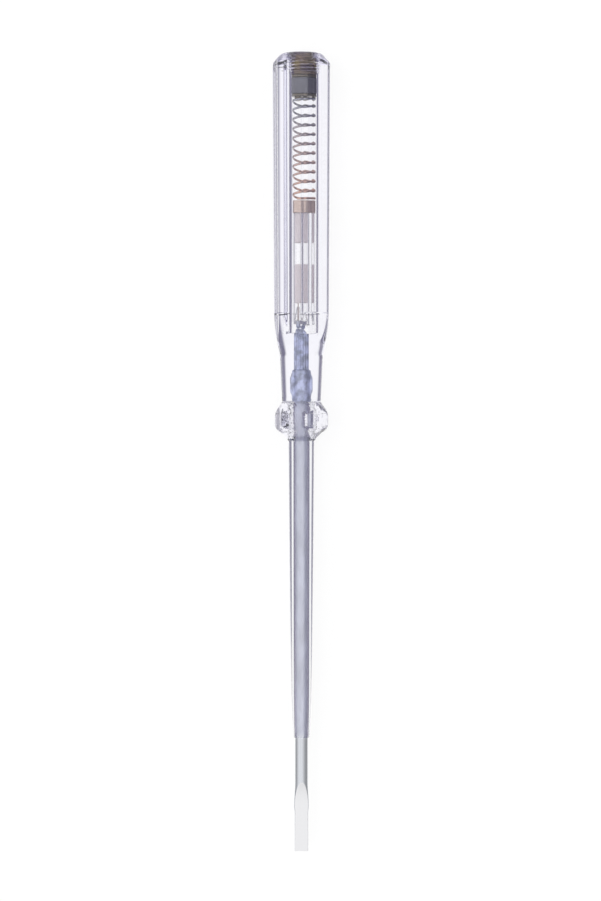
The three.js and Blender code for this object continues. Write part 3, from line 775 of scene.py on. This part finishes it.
def with_knurl(settings, station, angles, radii):
    """The shank stepped down to its knurled end. The grooves' depth follows half of 1 less the cosine of the
    angle times the number of teeth, and the last stretch tapers to a nib."""
    knurl_front, total = blade_places(settings)[2:]
    teeth = settings.knurl_groove * (1 - np.cos(settings.knurl_teeth * angles)) / 2
    slimmer = settings.shank_radius - settings.knurl_radius + teeth
    stepped = radii - slimmer * ease(
        knurl_front - settings.knurl_shoulder, knurl_front + settings.knurl_shoulder, station)
    nib = settings.knurl_radius / 2
    return stepped * (1 - settings.nib_taper * np.clip((station - (total - nib)) / nib, 0, 1))


def blade_finish(settings):
    """The steel's finish: bright in the open, duller under the sleeve, and blotched inside the handle."""
    # Chrome-vanadium steel, drawn round, ground at the tip and nickel plated: bright, with lines along the
    # shank, drawn coarser than the real ones so that they show. Oil dulls it under the sleeve, and its held
    # end has no plating.
    material = metal_finish(
        "nickel_plated_steel", settings.steel, darker(settings.steel, 0.86), roughness=0.2,
        grain=(0.3846, 11.11, 0.3846), relief=0.01 * MM)
    shade_marked(material, "ground_face", settings.ground_steel, roughness=0.45)
    sleeve_front = TIP + front_of("blade_sleeve")
    shade_along(
        material, settings.sleeved_steel, darker(settings.sleeved_steel, 0.8), grain=(2, 8.333, 2),
        start=sleeve_front - 0.5 * MM, end=sleeve_front + 1.5 * MM, roughness=0.42, metallic=0.5)
    wing_front = TIP + blade_places(settings)[0]
    shade_along(
        material, settings.held_steel, darker(settings.held_steel, 0.5), grain=(1.111, 1.667, 1.111),
        start=wing_front - 4 * MM, end=wing_front - 1 * MM, roughness=0.45, metallic=0.55)
    return material


class TESTER_OT_blade(bpy.types.Operator):
    """Builds the steel blade with its ground tip, wings and knurled end"""

    bl_idname = "tester.blade"
    bl_label = "Blade"

    def execute(self, context):
        """The shank, its wings and its knurl on one grid, turned about the axis, with the ground faces
        marked. The columns are drawn towards the flats' edges by 0.3 times the sine of twice the angle."""
        settings = context.scene.tester_blade
        rows = blade_stations(settings)
        station = rows[:, None]
        columns = 240
        even = np.arange(columns) * 2 * math.pi / columns
        angles = even + 0.3 * np.sin(2 * even)
        across = np.abs(np.sin(angles))[None, :] + NEAR_NOUGHT
        square = np.abs(np.cos(angles))[None, :] + NEAR_NOUGHT
        radii, ground = ground_shank(settings, station, across, square)
        radii = with_wings(settings, station, across, square, radii)
        angles = angles + settings.turn
        radii = with_knurl(settings, station, angles, radii)
        radii = radii * (1 - settings.tip_taper * (1 - np.clip(station / settings.tip_edge, 0, 1)))
        pole = np.zeros((1, columns))
        radii = np.concatenate([pole, radii, pole])
        piece = skin("blade_steel", radii, np.concatenate([[0], rows, [rear_of("blade")]]), angles)
        piece.data.set_sharp_from_angle(angle=math.radians(50))
        mark = piece.data.attributes.new("ground_face", "FLOAT", "POINT")
        mark.data.foreach_set("value", np.concatenate([ground.ravel(), [1, 0]]).astype(np.float32))
        dress(piece, "blade", blade_finish(settings))
        return {"FINISHED"}


class TESTER_OT_sleeve(bpy.types.Operator):
    """Builds the clear tapered sleeve"""

    bl_idname = "tester.sleeve"
    bl_label = "Sleeve"

    def execute(self, context):
        """A turned tube, with a thinner spigot inside the nose of the handle."""
        settings = context.scene.tester_sleeve
        front = front_of("blade_sleeve")
        rear = rear_of("blade_sleeve")
        shoulder = front_of("handle") + BOND
        rise = settings.rear_radius - settings.front_radius
        taper = TAPER_SHARES * [rise, shoulder - front] + [settings.front_radius, front]
        mouth = [
            [settings.bore_radius, front], [settings.front_radius - settings.lip, front],
            [settings.front_radius, front + settings.lip]]
        spigot = [
            [settings.rear_radius, shoulder], [settings.spigot_radius, shoulder],
            [settings.spigot_radius, rear], [settings.bore_radius, rear]]
        profile = np.concatenate([mouth, taper, spigot])
        corners = np.full(len(profile), settings.edge_corner)
        corners[len(mouth):len(mouth) + len(taper)] = settings.taper_corner
        piece = turned("sleeve_tube", profile, corners, columns=128, looped=True)
        # Cellulose acetate butyrate tube, extruded and shrunk on: clear, with a light haze and draw lines
        # along its length.
        material = clear_finish(
            "extruded_clear_tube", settings.tint, ior=1.48, roughness=0.05, density=60,
            grain=(1.111, 40, 1.111), relief=0.02 * MM)
        dress(piece, "blade_sleeve", material)
        return {"FINISHED"}


def cap_surface(settings):
    """The touch cap's radii, stations and angles, from its inner end over the thread to the dome, which is a
    quarter of an ellipse. The thread's height follows half of 1 plus the cosine of the turn, which is the
    station over the pitch less the angle, as in the bore."""
    handle = bpy.context.scene.tester_handle
    front = front_of("contact_cap")
    rear = rear_of("contact_cap")
    root = handle.bore_radius - settings.thread_clearance
    thread_front = front + THREAD_FADE
    thread_rear = rear - CAP_HEAD
    body = [[root - CAP_CHAMFER, front], [root, front + CAP_CHAMFER], [root, thread_rear]]
    rise = np.linspace(0, 1, 12)[:-1] * math.pi / 2
    dome = np.stack([root * np.cos(rise), rear - settings.dome_height * (1 - np.sin(rise))], axis=1)
    rows = finer(np.concatenate([body, dome]), handle.thread_pitch / THREAD_STEPS)
    angles = np.arange(ROUND_COLUMNS) * 2 * math.pi / ROUND_COLUMNS
    station = rows[:, 1][:, None]
    turn = 2 * math.pi * (station - rear_of("handle")) / handle.thread_pitch - angles[None, :]
    fade = (ease(thread_front, thread_front + THREAD_FADE, station)
            * (1 - ease(thread_rear - THREAD_FADE, thread_rear, station)))
    height = handle.bore_radius + settings.thread_crest - root
    radii = rows[:, 0][:, None] + height * (1 + np.cos(turn)) / 2 * fade
    pole = np.zeros((1, ROUND_COLUMNS))
    return np.concatenate([pole, radii, pole]), np.concatenate([[front], rows[:, 1], [rear]]), angles


def slot_cutter(settings):
    """A bar across the dome, as wide as the slot and twice as deep, turned as the blade's flat is."""
    turn = bpy.context.scene.tester_blade.turn
    half = np.array([settings.slot_width / 2, settings.slot_depth, 8 * MM])
    signs = np.array([[x, y, z] for x in (-1, 1) for y in (-1, 1) for z in (-1, 1)])
    spin = np.array([[math.cos(turn), 0, math.sin(turn)], [0, 1, 0], [-math.sin(turn), 0, math.cos(turn)]])
    corners = (signs * half) @ spin.T + [0, TIP + rear_of("contact_cap"), AXIS_HEIGHT]
    faces = [[0, 1, 3, 2], [4, 6, 7, 5], [0, 4, 5, 1], [2, 3, 7, 6], [0, 2, 6, 4], [1, 5, 7, 3]]
    return mesh_piece("slot_cutter", corners, faces)


def cap_finish(settings):
    """The touch cap's finish: bright on the dome. On the thread and the slot's floor it has blotches of a
    painted gold highlight and painted dark violet shade.
    """
    # Free-cutting brass, turned on an automatic lathe and nickel plated: pale gold grey, with turning
    # rings round its axis, drawn coarser than the real ones so that they show.
    material = metal_finish(
        "nickel_plated_brass", settings.cap_metal, darker(settings.cap_metal, 0.8), roughness=0.28,
        grain=(2, 0.4, 2), relief=0.02 * MM)
    top = TIP + rear_of("contact_cap")
    # Painted light: over the thread and the slot's floor, blotches of a painted gold highlight and a painted
    # dark violet shade and reflection.
    shade_along(
        material, settings.thread_highlight_and_shade, darker(settings.thread_highlight_and_shade, (0.18, 0.15, 0.8)),
        grain=(3.333, 3.333, 3.333), start=top - 0.6 * MM, end=top - 1.3 * MM, roughness=0.5, metallic=1.0)
    return material


class TESTER_OT_touch_cap(bpy.types.Operator):
    """Builds the screwed touch cap"""

    bl_idname = "tester.touch_cap"
    bl_label = "Touch cap"

    def execute(self, context):
        """A turned screw, with a slot cut across its dome by a boolean modifier that is applied."""
        settings = context.scene.tester_stack
        piece = skin("touch_cap_screw", *cap_surface(settings))
        cutter = slot_cutter(settings)
        cut = piece.modifiers.new("slot", "BOOLEAN")
        cut.operation = "DIFFERENCE"
        cut.solver = "EXACT"
        cut.object = cutter
        context.view_layer.update()
        slotted = piece.evaluated_get(context.evaluated_depsgraph_get())
        made = bpy.data.meshes.new_from_object(slotted)
        piece.modifiers.clear()
        piece.data = made
        bpy.data.objects.remove(cutter)
        piece.data.shade_smooth()
        piece.data.set_sharp_from_angle(angle=math.radians(35))
        dress(piece, "contact_cap", cap_finish(settings))
        return {"FINISHED"}


def lacquer_finish(settings):
    """The finish of the resistor's body."""
    # Baked graphite lacquer over a ceramic rod: blue-grey with a metallic gloss and an orange peel, drawn
    # a little coarser than the real one so that it shows.
    material, tree, output = new_material("baked_resistor_lacquer")
    peel = add_node(tree, "ShaderNodeTexNoise", {
        "Vector": pattern_place(tree, (0.4545, 0.4545, 0.4545)), "Scale": 1.0, "Detail": 2.0})
    tone = add_node(tree, "ShaderNodeMix", {
        "Factor": peel.outputs["Fac"], "A": rgba(settings.lacquer),
        "B": rgba(darker(settings.lacquer, 0.75))}, data_type="RGBA")
    bump = add_node(tree, "ShaderNodeBump", {"Height": peel.outputs["Fac"], "Distance": 0.03 * MM})
    body = add_node(tree, "ShaderNodeBsdfPrincipled", {
        "Base Color": tone.outputs["Result"], "Metallic": 0.8, "Roughness": 0.2,
        "Normal": bump.outputs["Normal"]})
    tree.links.new(body.outputs["BSDF"], output.inputs["Surface"])
    return material


class TESTER_OT_resistor(bpy.types.Operator):
    """Builds the series resistor and its two contacts"""

    bl_idname = "tester.resistor"
    bl_label = "Resistor"

    def execute(self, context):
        """Three turned pieces: the lacquered body, a disc behind it and a disc with a boss in front."""
        settings = context.scene.tester_stack
        # Tinned steel, pressed: warm grey, with rub marks.
        pressed = metal_finish(
            "pressed_tinned_contact", settings.contact_metal, darker(settings.contact_metal, 0.7),
            roughness=0.3, grain=(0.8333, 0.8333, 0.8333), relief=0.02 * MM)
        barrel = turned("resistor_barrel", rod(self.radius("resistor_body"), "resistor_body"),
                        settings.barrel_corner)
        dress(barrel, "resistor_body", lacquer_finish(settings))
        node = "resistor_rear_contact"
        disc = turned("resistor_rear_disc", rod(self.radius(node), node), settings.disc_corner)
        dress(disc, node, pressed)
        node = "resistor_front_contact"
        front = front_of(node)
        rear = rear_of(node)
        step = rear - settings.disc_thickness
        boss = settings.boss_radius
        radius = self.radius(node)
        profile = [[0, front], [boss, front], [boss, step], [radius, step], [radius, rear], [0, rear]]
        dress(turned("resistor_front_disc", profile, settings.disc_corner), node, pressed)
        return {"FINISHED"}

    def radius(self, node):
        """Half the width of a CAD node."""
        low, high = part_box(node)
        return (high.x - low.x) / 2


def spring_centre(settings, front, rear):
    """The wire's centre line from front to rear, and its angle. The turn runs from 0 to the number of turns.
    The station climbs one wire a turn over the closed turns at each end, and evenly between them."""
    steps = 40
    t = np.linspace(0, settings.coil_turns, int(settings.coil_turns * steps) + 1)
    shut_ends = 2 * settings.dead_turns
    wire = 2 * settings.wire_radius
    open_share = ease(0, shut_ends, t) * (1 - ease(settings.coil_turns - shut_ends, settings.coil_turns, t))
    between = (open_share[1:] + open_share[:-1]) / 2
    climb = np.concatenate([[0], np.cumsum(between)])
    shut = np.concatenate([[0], np.cumsum(1 - between)]) * wire / steps
    station = front + shut + climb / climb[-1] * (rear - front - shut[-1])
    angle = 2 * math.pi * t
    return np.stack([
        settings.coil_radius * np.sin(angle), station, settings.coil_radius * np.cos(angle)], axis=1), angle


def spring_mesh(settings, front, rear):
    """A round wire along the helix. Each ring of the wire lies at right angles to the helix: the centre plus
    the wire's radius times the cosine of its own angle outwards and the sine of it across. The two ends
    are a little thinner, and closed by a point."""
    centre, angle = spring_centre(settings, front, rear)
    along = np.gradient(centre, axis=0)
    along /= np.linalg.norm(along, axis=1, keepdims=True)
    outward = np.stack([np.sin(angle), np.zeros_like(angle), np.cos(angle)], axis=1)
    across = np.cross(along, outward)
    across /= np.linalg.norm(across, axis=1, keepdims=True)
    outward = np.cross(across, along)
    sides = 14
    ring = np.arange(sides) * 2 * math.pi / sides
    thickness = np.full(len(angle), settings.wire_radius)
    thickness[[0, -1]] *= 0.8
    spokes = (outward[:, None] * np.cos(ring)[None, :, None] + across[:, None] * np.sin(ring)[None, :, None])
    points = centre[:, None] + thickness[:, None, None] * spokes + [0, TIP, AXIS_HEIGHT]
    index = np.arange(len(angle) * sides).reshape(len(angle), sides)
    beside = np.roll(index, -1, axis=1)
    faces = np.stack([index[:-1], beside[:-1], beside[1:], index[1:]], axis=-1).reshape(-1, 4).tolist()
    vertices = np.concatenate([points.reshape(-1, 3), points[:1].mean(1), points[-1:].mean(1)])
    end = np.full(sides, len(angle) * sides)
    faces += np.stack([end, beside[0], index[0]], axis=-1).tolist()
    faces += np.stack([index[-1], beside[-1], end + 1], axis=-1).tolist()
    return mesh_piece("contact_spring_wire", vertices, faces)


def wire_finish(settings, front, rear):
    """The wire's finish, which runs along the spring."""
    # Music wire, cold drawn with a copper wash: grey at the rear, and copper where it is worn at the front.
    material, tree, output = new_material("drawn_spring_wire")
    marks = add_node(tree, "ShaderNodeTexNoise", {
        "Vector": pattern_place(tree, (0.6667, 0.6667, 0.6667)), "Scale": 1.0, "Detail": 3.0})
    along = add_node(tree, "ShaderNodeMapRange", {
        "Value": object_place(tree)["Y"], "From Min": TIP + front, "From Max": TIP + rear, "To Min": -0.25,
        "To Max": 0.9})
    worn = add_node(tree, "ShaderNodeMath", {
        0: marks.outputs["Fac"], 1: 0.5, 2: along.outputs["Result"]}, operation="MULTIPLY_ADD")
    tone = add_node(tree, "ShaderNodeMix", {
        "Factor": worn.outputs["Value"], "A": rgba(settings.wire_copper), "B": rgba(settings.wire_metal)},
        data_type="RGBA")
    body = add_node(tree, "ShaderNodeBsdfPrincipled", {
        "Base Color": tone.outputs["Result"], "Metallic": 1.0, "Roughness": 0.16})
    tree.links.new(body.outputs["BSDF"], output.inputs["Surface"])
    return material


class TESTER_OT_spring(bpy.types.Operator):
    """Builds the contact spring"""

    bl_idname = "tester.spring"
    bl_label = "Contact spring"

    def execute(self, context):
        """The wire, stretched between the tool and the resistor when the cap moves."""
        settings = context.scene.tester_stack
        node = "contact_spring"
        front = front_of(node) + settings.wire_radius
        rear = rear_of(node) - settings.wire_radius
        piece = spring_mesh(settings, front, rear)
        low = Vector((0, TIP + front_of(node), AXIS_HEIGHT))
        high = Vector((0, TIP + rear_of(node), AXIS_HEIGHT))
        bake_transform(piece, "tool", "resistor", start=low, end=high)
        dress(piece, node, wire_finish(settings, front, rear))
        return {"FINISHED"}


def lamp_finishes(settings):
    """The lamp's five finishes: its glass, its seals, the electrodes, the copper and the contact."""
    # Soda-lime tube, drawn and fire polished: clear, with a hint of violet.
    glass = clear_finish(
        "drawn_lamp_glass", settings.glass_tint, ior=1.52, roughness=0.01, density=20,
        grain=(3.333, 50, 3.333), relief=0.01 * MM)
    # Lead glass, pressed and fused: clear, with slow ripples.
    fused = clear_finish(
        "fused_seal_glass", settings.glass_tint, ior=1.56, roughness=0.02, density=20, grain=(2, 2, 2),
        relief=0.02 * MM)
    # Nickel cup, pressed and sprayed with an oxide coating: pale and matt, with a pinkish mottle.
    coated = metal_finish(
        "oxide_coated_nickel", settings.coating, darker(settings.coating, (0.96, 0.88, 0.86)),
        roughness=0.6, grain=(0.5556, 0.5556, 0.5556), relief=0.03 * MM, metallic=0.05)
    # Copper, pressed thin and left to tarnish: brown and half dulled by its film, with rings round it,
    # drawn coarser than the real ones so that they show.
    copper = metal_finish(
        "tarnished_copper_cap", settings.copper, darker(settings.copper, 0.5), roughness=0.18,
        grain=(1.111, 0.4, 1.111), relief=0.02 * MM, metallic=0.6)
    # Tinned steel, pressed: pale blue grey, with rub marks.
    pressed = metal_finish(
        "pressed_lamp_contact", settings.contact_metal, darker(settings.contact_metal, 0.8),
        roughness=0.4, grain=(0.8333, 0.8333, 0.8333), relief=0.02 * MM)
    return glass, fused, coated, copper, pressed


def tail_cap_profile(settings):
    """The profile of the metal cap over the lamp's rear end, open towards the tip."""
    front = front_of("lamp_rear_cap")
    rear = rear_of("lamp_rear_cap")
    inner = settings.glass_radius + settings.clearance
    outer = inner + settings.cap_wall
    floor = rear - settings.cap_end
    return [[0, floor], [inner, floor], [inner, front], [outer, front], [outer, rear], [0, rear]]


def cup_profiles(settings):
    """The profiles of the two electrodes, cups that are open towards each other."""
    outer = settings.electrode_radius
    inner = outer - settings.electrode_wall
    front = front_of("rear_electrode")
    rear = rear_of("rear_electrode")
    floor = rear - settings.electrode_base
    tail = [[0, floor], [inner, floor], [inner, front], [outer, front], [outer, rear], [0, rear]]
    front = front_of("front_electrode")
    rear = rear_of("front_electrode")
    floor = front + settings.electrode_base
    nose = [[0, front], [outer, front], [outer, rear], [inner, rear], [inner, floor], [0, floor]]
    return tail, nose


def nose_seal_profile(settings, seal, hole):
    """The profile of the front seal: a straight rim, a cone to its tip, a hole for the lead and a recess
    for the contact."""
    front = front_of("lamp_front_seal")
    rear = rear_of("lamp_front_seal")
    recess = settings.contact_radius + settings.clearance
    recess_rear = rear_of("lamp_front_contact") + settings.clearance
    return [
        [recess, front], [seal, front], [seal, front + settings.seal_rim], [settings.seal_tip_radius, rear],
        [hole, rear], [hole, recess_rear], [recess, recess_rear]]


def nose_contact_profile(settings):
    """The profile of the contact on the blade, with a bevel of a third of its radius."""
    front = front_of("lamp_front_contact")
    rear = rear_of("lamp_front_contact")
    radius = settings.contact_radius
    bevel = radius / 3
    return [[0, front], [radius - bevel, front], [radius, front + bevel], [radius, rear], [0, rear]]


class TESTER_OT_lamp(bpy.types.Operator):
    """Builds the glow lamp with its electrodes, leads, seals and contacts"""

    bl_idname = "tester.lamp"
    bl_label = "Glow lamp"

    def execute(self, context):
        """Nine turned pieces, each with its corners rounded."""
        settings = context.scene.tester_lamp
        bore = settings.glass_radius - settings.glass_wall
        seal = bore - settings.clearance / 2
        hole = settings.lead_radius + settings.clearance / 2
        glass, fused, coated, copper, pressed = lamp_finishes(settings)

        piece = turned(
            "lamp_tube", tube(bore, settings.glass_radius, "lamp_glass"), corner=0.12 * MM, looped=True)
        dress(piece, "lamp_glass", glass)
        piece = turned("lamp_tail_cap", tail_cap_profile(settings), corner=0.1 * MM)
        dress(piece, "lamp_rear_cap", copper)
        piece = turned("lamp_tail_seal", tube(hole, seal, "lamp_rear_seal"), corner=0.25 * MM, looped=True)
        dress(piece, "lamp_rear_seal", fused)
        tail_cup, nose_cup = cup_profiles(settings)
        piece = turned("tail_electrode_cup", tail_cup, corner=0.1 * MM)
        dress(piece, "rear_electrode", coated)
        piece = turned("nose_electrode_cup", nose_cup, corner=0.1 * MM)
        dress(piece, "front_electrode", coated)
        for name, node in (("tail_lead_wire", "rear_lead"), ("nose_lead_wire", "front_lead")):
            piece = turned(name, rod(settings.lead_radius, node), corner=0.06 * MM, columns=32)
            dress(piece, node, copper)
        piece = turned(
            "lamp_nose_seal", nose_seal_profile(settings, seal, hole), corner=0.1 * MM, looped=True)
        dress(piece, "lamp_front_seal", fused)
        piece = turned("lamp_nose_contact", nose_contact_profile(settings), corner=0.1 * MM)
        dress(piece, "lamp_front_contact", pressed)
        return {"FINISHED"}


class TESTER_OT_stage(bpy.types.Operator):
    """Sets the camera, the floor and the light"""

    bl_idname = "tester.stage"
    bl_label = "Stage"

    def execute(self, context):
        """The camera looks down on the lying tool, turned about the tool's axis, with the touch cap up."""
        settings = context.scene.tester_stage
        scene = context.scene
        camera = bpy.data.cameras.new("camera")
        camera.lens = settings.lens
        camera.sensor_width = 36
        camera.clip_end = 20
        seen = settings.photo_height * settings.lens / camera.sensor_width
        eye = bpy.data.objects.new("camera", camera)
        back = Vector((math.sin(settings.roll), 0, math.cos(settings.roll)))
        up = Vector((0, 1, 0))
        right = up.cross(back)
        aim = Vector((0, settings.photo_shift, AXIS_HEIGHT)) - right * settings.side_shift
        turn = Matrix((right, up, back)).transposed().to_4x4()
        eye.matrix_world = Matrix.Translation(aim + back * seen) @ turn
        scene.collection.objects.link(eye)
        scene.camera = eye
        self.floor(settings)
        self.world(settings, scene)
        for name, place, side, power in SOFTBOXES:
            self.lamp(name, place, side, power)
        scene.view_settings.view_transform = "Standard"
        return {"FINISHED"}

    def floor(self, settings):
        """A pale floor that shows as the white background and keeps the tool's shadow. Seen through clear
        plastic it is white in the panel's three directions and turns to the shade's colour at a slant to
        them. In a metal's mirror it is only dimmed there."""
        half = 3.0
        corners = np.array([[-half, -half, 0], [half, -half, 0], [half, half, 0], [-half, half, 0]])
        floor = mesh_piece("floor", corners, [[0, 1, 2, 3]])
        material, tree, output = new_material("pale_floor")
        path = add_node(tree, "ShaderNodeLightPath")
        lit = add_node(tree, "ShaderNodeBsdfDiffuse", {"Color": rgba(darker(settings.floor_colour, 0.8))})
        white = add_node(tree, "ShaderNodeEmission", {"Color": rgba(settings.floor_colour), "Strength": 1.0})
        seen = add_node(tree, "ShaderNodeMixShader", {
            0: 0.85, 1: lit.outputs["BSDF"], 2: white.outputs["Emission"]})
        slant = 1.0
        for along in (-settings.panel_reach, 0, settings.panel_reach):
            tilted = add_node(tree, "ShaderNodeCombineXYZ", {
                "X": math.sin(settings.panel_tilt) * math.cos(along), "Y": math.sin(along),
                "Z": math.cos(settings.panel_tilt) * math.cos(along)}).outputs["Vector"]
            facing = add_node(tree, "ShaderNodeLayerWeight", {"Blend": 0.5, "Normal": tilted})
            slant = add_node(tree, "ShaderNodeMath", {
                0: facing.outputs["Facing"], 1: slant}, operation="MINIMUM").outputs["Value"]
        fall = add_node(tree, "ShaderNodeMapRange", {
            "Value": slant, "From Min": 0.19, "From Max": 0.31, "To Min": 1.0, "To Max": 0.0},
            interpolation_type="SMOOTHSTEP")
        tone = add_node(tree, "ShaderNodeMix", {
            "Factor": fall.outputs["Result"], "A": rgba(settings.shade), "B": rgba(settings.floor_colour)},
            data_type="RGBA")
        panel = add_node(tree, "ShaderNodeEmission", {"Color": tone.outputs["Result"], "Strength": 1.0})
        dimmed = add_node(tree, "ShaderNodeMapRange", {
            "Value": fall.outputs["Result"], "To Min": 0.42, "To Max": 1.0})
        mirrored = add_node(tree, "ShaderNodeEmission", {
            "Color": rgba(settings.floor_colour), "Strength": dimmed.outputs["Result"]})
        first = add_node(tree, "ShaderNodeMixShader", {
            0: path.outputs["Is Camera Ray"], 1: lit.outputs["BSDF"], 2: seen.outputs["Shader"]})
        second = add_node(tree, "ShaderNodeMixShader", {
            0: path.outputs["Is Glossy Ray"], 1: first.outputs["Shader"], 2: mirrored.outputs["Emission"]})
        third = add_node(tree, "ShaderNodeMixShader", {
            0: path.outputs["Is Transmission Ray"], 1: second.outputs["Shader"],
            2: panel.outputs["Emission"]})
        tree.links.new(third.outputs["Shader"], output.inputs["Surface"])
        floor.data.materials.append(material)

    def world(self, settings, scene):
        """A white room: full white to the camera and softer all round. Seen through clear plastic it is
        white overhead and at both ends of the tool, and has the shade's colour beside it."""
        world = bpy.data.worlds.new("white_room")
        world.use_nodes = True
        tree = world.node_tree
        tree.nodes.clear()
        output = add_node(tree, "ShaderNodeOutputWorld")
        path = add_node(tree, "ShaderNodeLightPath")
        way = add_node(tree, "ShaderNodeSeparateXYZ", {
            0: add_node(tree, "ShaderNodeTexCoord").outputs["Generated"]})
        height = way.outputs["Z"]
        above = add_node(tree, "ShaderNodeMapRange", {
            "Value": height, "From Min": 0.36, "From Max": 0.58, "To Min": 0.0, "To Max": 1.0})
        far = add_node(tree, "ShaderNodeMath", {0: way.outputs["Y"]}, operation="ABSOLUTE")
        along = add_node(tree, "ShaderNodeMapRange", {
            "Value": far.outputs["Value"], "From Min": 0.45, "From Max": 0.75, "To Min": 0.0, "To Max": 1.0})
        clear = add_node(tree, "ShaderNodeMath", {
            0: above.outputs["Result"], 1: along.outputs["Result"]}, operation="MAXIMUM")
        gloss = add_node(tree, "ShaderNodeMapRange", {
            "Value": height, "From Min": 0.2, "From Max": 0.95, "To Min": 0.55, "To Max": 1.05},
            interpolation_type="SMOOTHSTEP")
        through = add_node(tree, "ShaderNodeMix", {
            "Factor": clear.outputs["Value"], "A": rgba(settings.shade), "B": (1, 1, 1, 1)}, data_type="RGBA")
        tone = add_node(tree, "ShaderNodeMix", {
            "Factor": path.outputs["Is Transmission Ray"], "A": (1, 1, 1, 1), "B": through.outputs["Result"]},
            data_type="RGBA")
        strengths = {"Is Glossy Ray": gloss.outputs["Result"], "Is Transmission Ray": 1.0}
        strength = add_node(tree, "ShaderNodeMix", {
            "Factor": path.outputs["Is Camera Ray"], "A": 0.8, "B": 1.0}, data_type="FLOAT").outputs["Result"]
        for ray, value in strengths.items():
            strength = add_node(tree, "ShaderNodeMix", {
                "Factor": path.outputs[ray], "A": strength, "B": value}, data_type="FLOAT").outputs["Result"]
        light = add_node(tree, "ShaderNodeBackground", {
            "Color": tone.outputs["Result"], "Strength": strength})
        tree.links.new(light.outputs["Background"], output.inputs["Surface"])
        scene.world = world

    def lamp(self, name, place, side, power):
        """A square soft lamp that points at the middle of the tool."""
        light = bpy.data.lights.new(name, "AREA")
        light.size = side
        light.energy = power
        lamp = bpy.data.objects.new(name, light)
        lamp.location = place
        lamp.rotation_euler = (-Vector(place)).to_track_quat("-Z", "Y").to_euler()
        lamp.visible_camera = False
        lamp.visible_glossy = False
        lamp.visible_transmission = False
        bpy.context.scene.collection.objects.link(lamp)


SETTINGS = {
    "tester_handle": HandleSettings,
    "tester_blade": BladeSettings,
    "tester_sleeve": SleeveSettings,
    "tester_stack": StackSettings,
    "tester_lamp": LampSettings,
    "tester_stage": StageSettings,
}
BUILDERS = (
    TESTER_OT_stage, TESTER_OT_blade, TESTER_OT_sleeve, TESTER_OT_lamp, TESTER_OT_spring, TESTER_OT_resistor,
    TESTER_OT_touch_cap, TESTER_OT_handle,
)


class TESTER_PT_panel(bpy.types.Panel):
    """Lists the pieces and their sizes"""

    bl_idname = "TESTER_PT_panel"
    bl_label = "Voltage tester"
    bl_space_type = "VIEW_3D"
    bl_region_type = "UI"
    bl_category = "Tester"

    def draw(self, context):
        """Draws a button for each piece, and the settings under them."""
        for builder in BUILDERS:
            self.layout.operator(builder.bl_idname)
        for name, group in SETTINGS.items():
            box = self.layout.box()
            box.label(text=group.__doc__)
            for key in group.__annotations__:
                box.prop(getattr(context.scene, name), key)


def register():
    """Registers the classes and hangs the settings on the scene."""
    for made in (*SETTINGS.values(), *BUILDERS, TESTER_PT_panel):
        bpy.utils.register_class(made)
    for name, group in SETTINGS.items():
        setattr(bpy.types.Scene, name, PointerProperty(type=group))


def unregister():
    """Takes the settings and the classes away again."""
    for name in SETTINGS:
        delattr(bpy.types.Scene, name)
    for made in (TESTER_PT_panel, *reversed(BUILDERS), *reversed(SETTINGS.values())):
        bpy.utils.unregister_class(made)


def main():
    """Registers the classes, and builds the stage and the pieces in order."""
    register()
    bpy.ops.tester.stage()
    bpy.ops.tester.blade()
    bpy.ops.tester.sleeve()
    bpy.ops.tester.lamp()
    bpy.ops.tester.spring()
    bpy.ops.tester.resistor()
    bpy.ops.tester.touch_cap()
    bpy.ops.tester.handle()


if __name__ == "__main__":
    main()
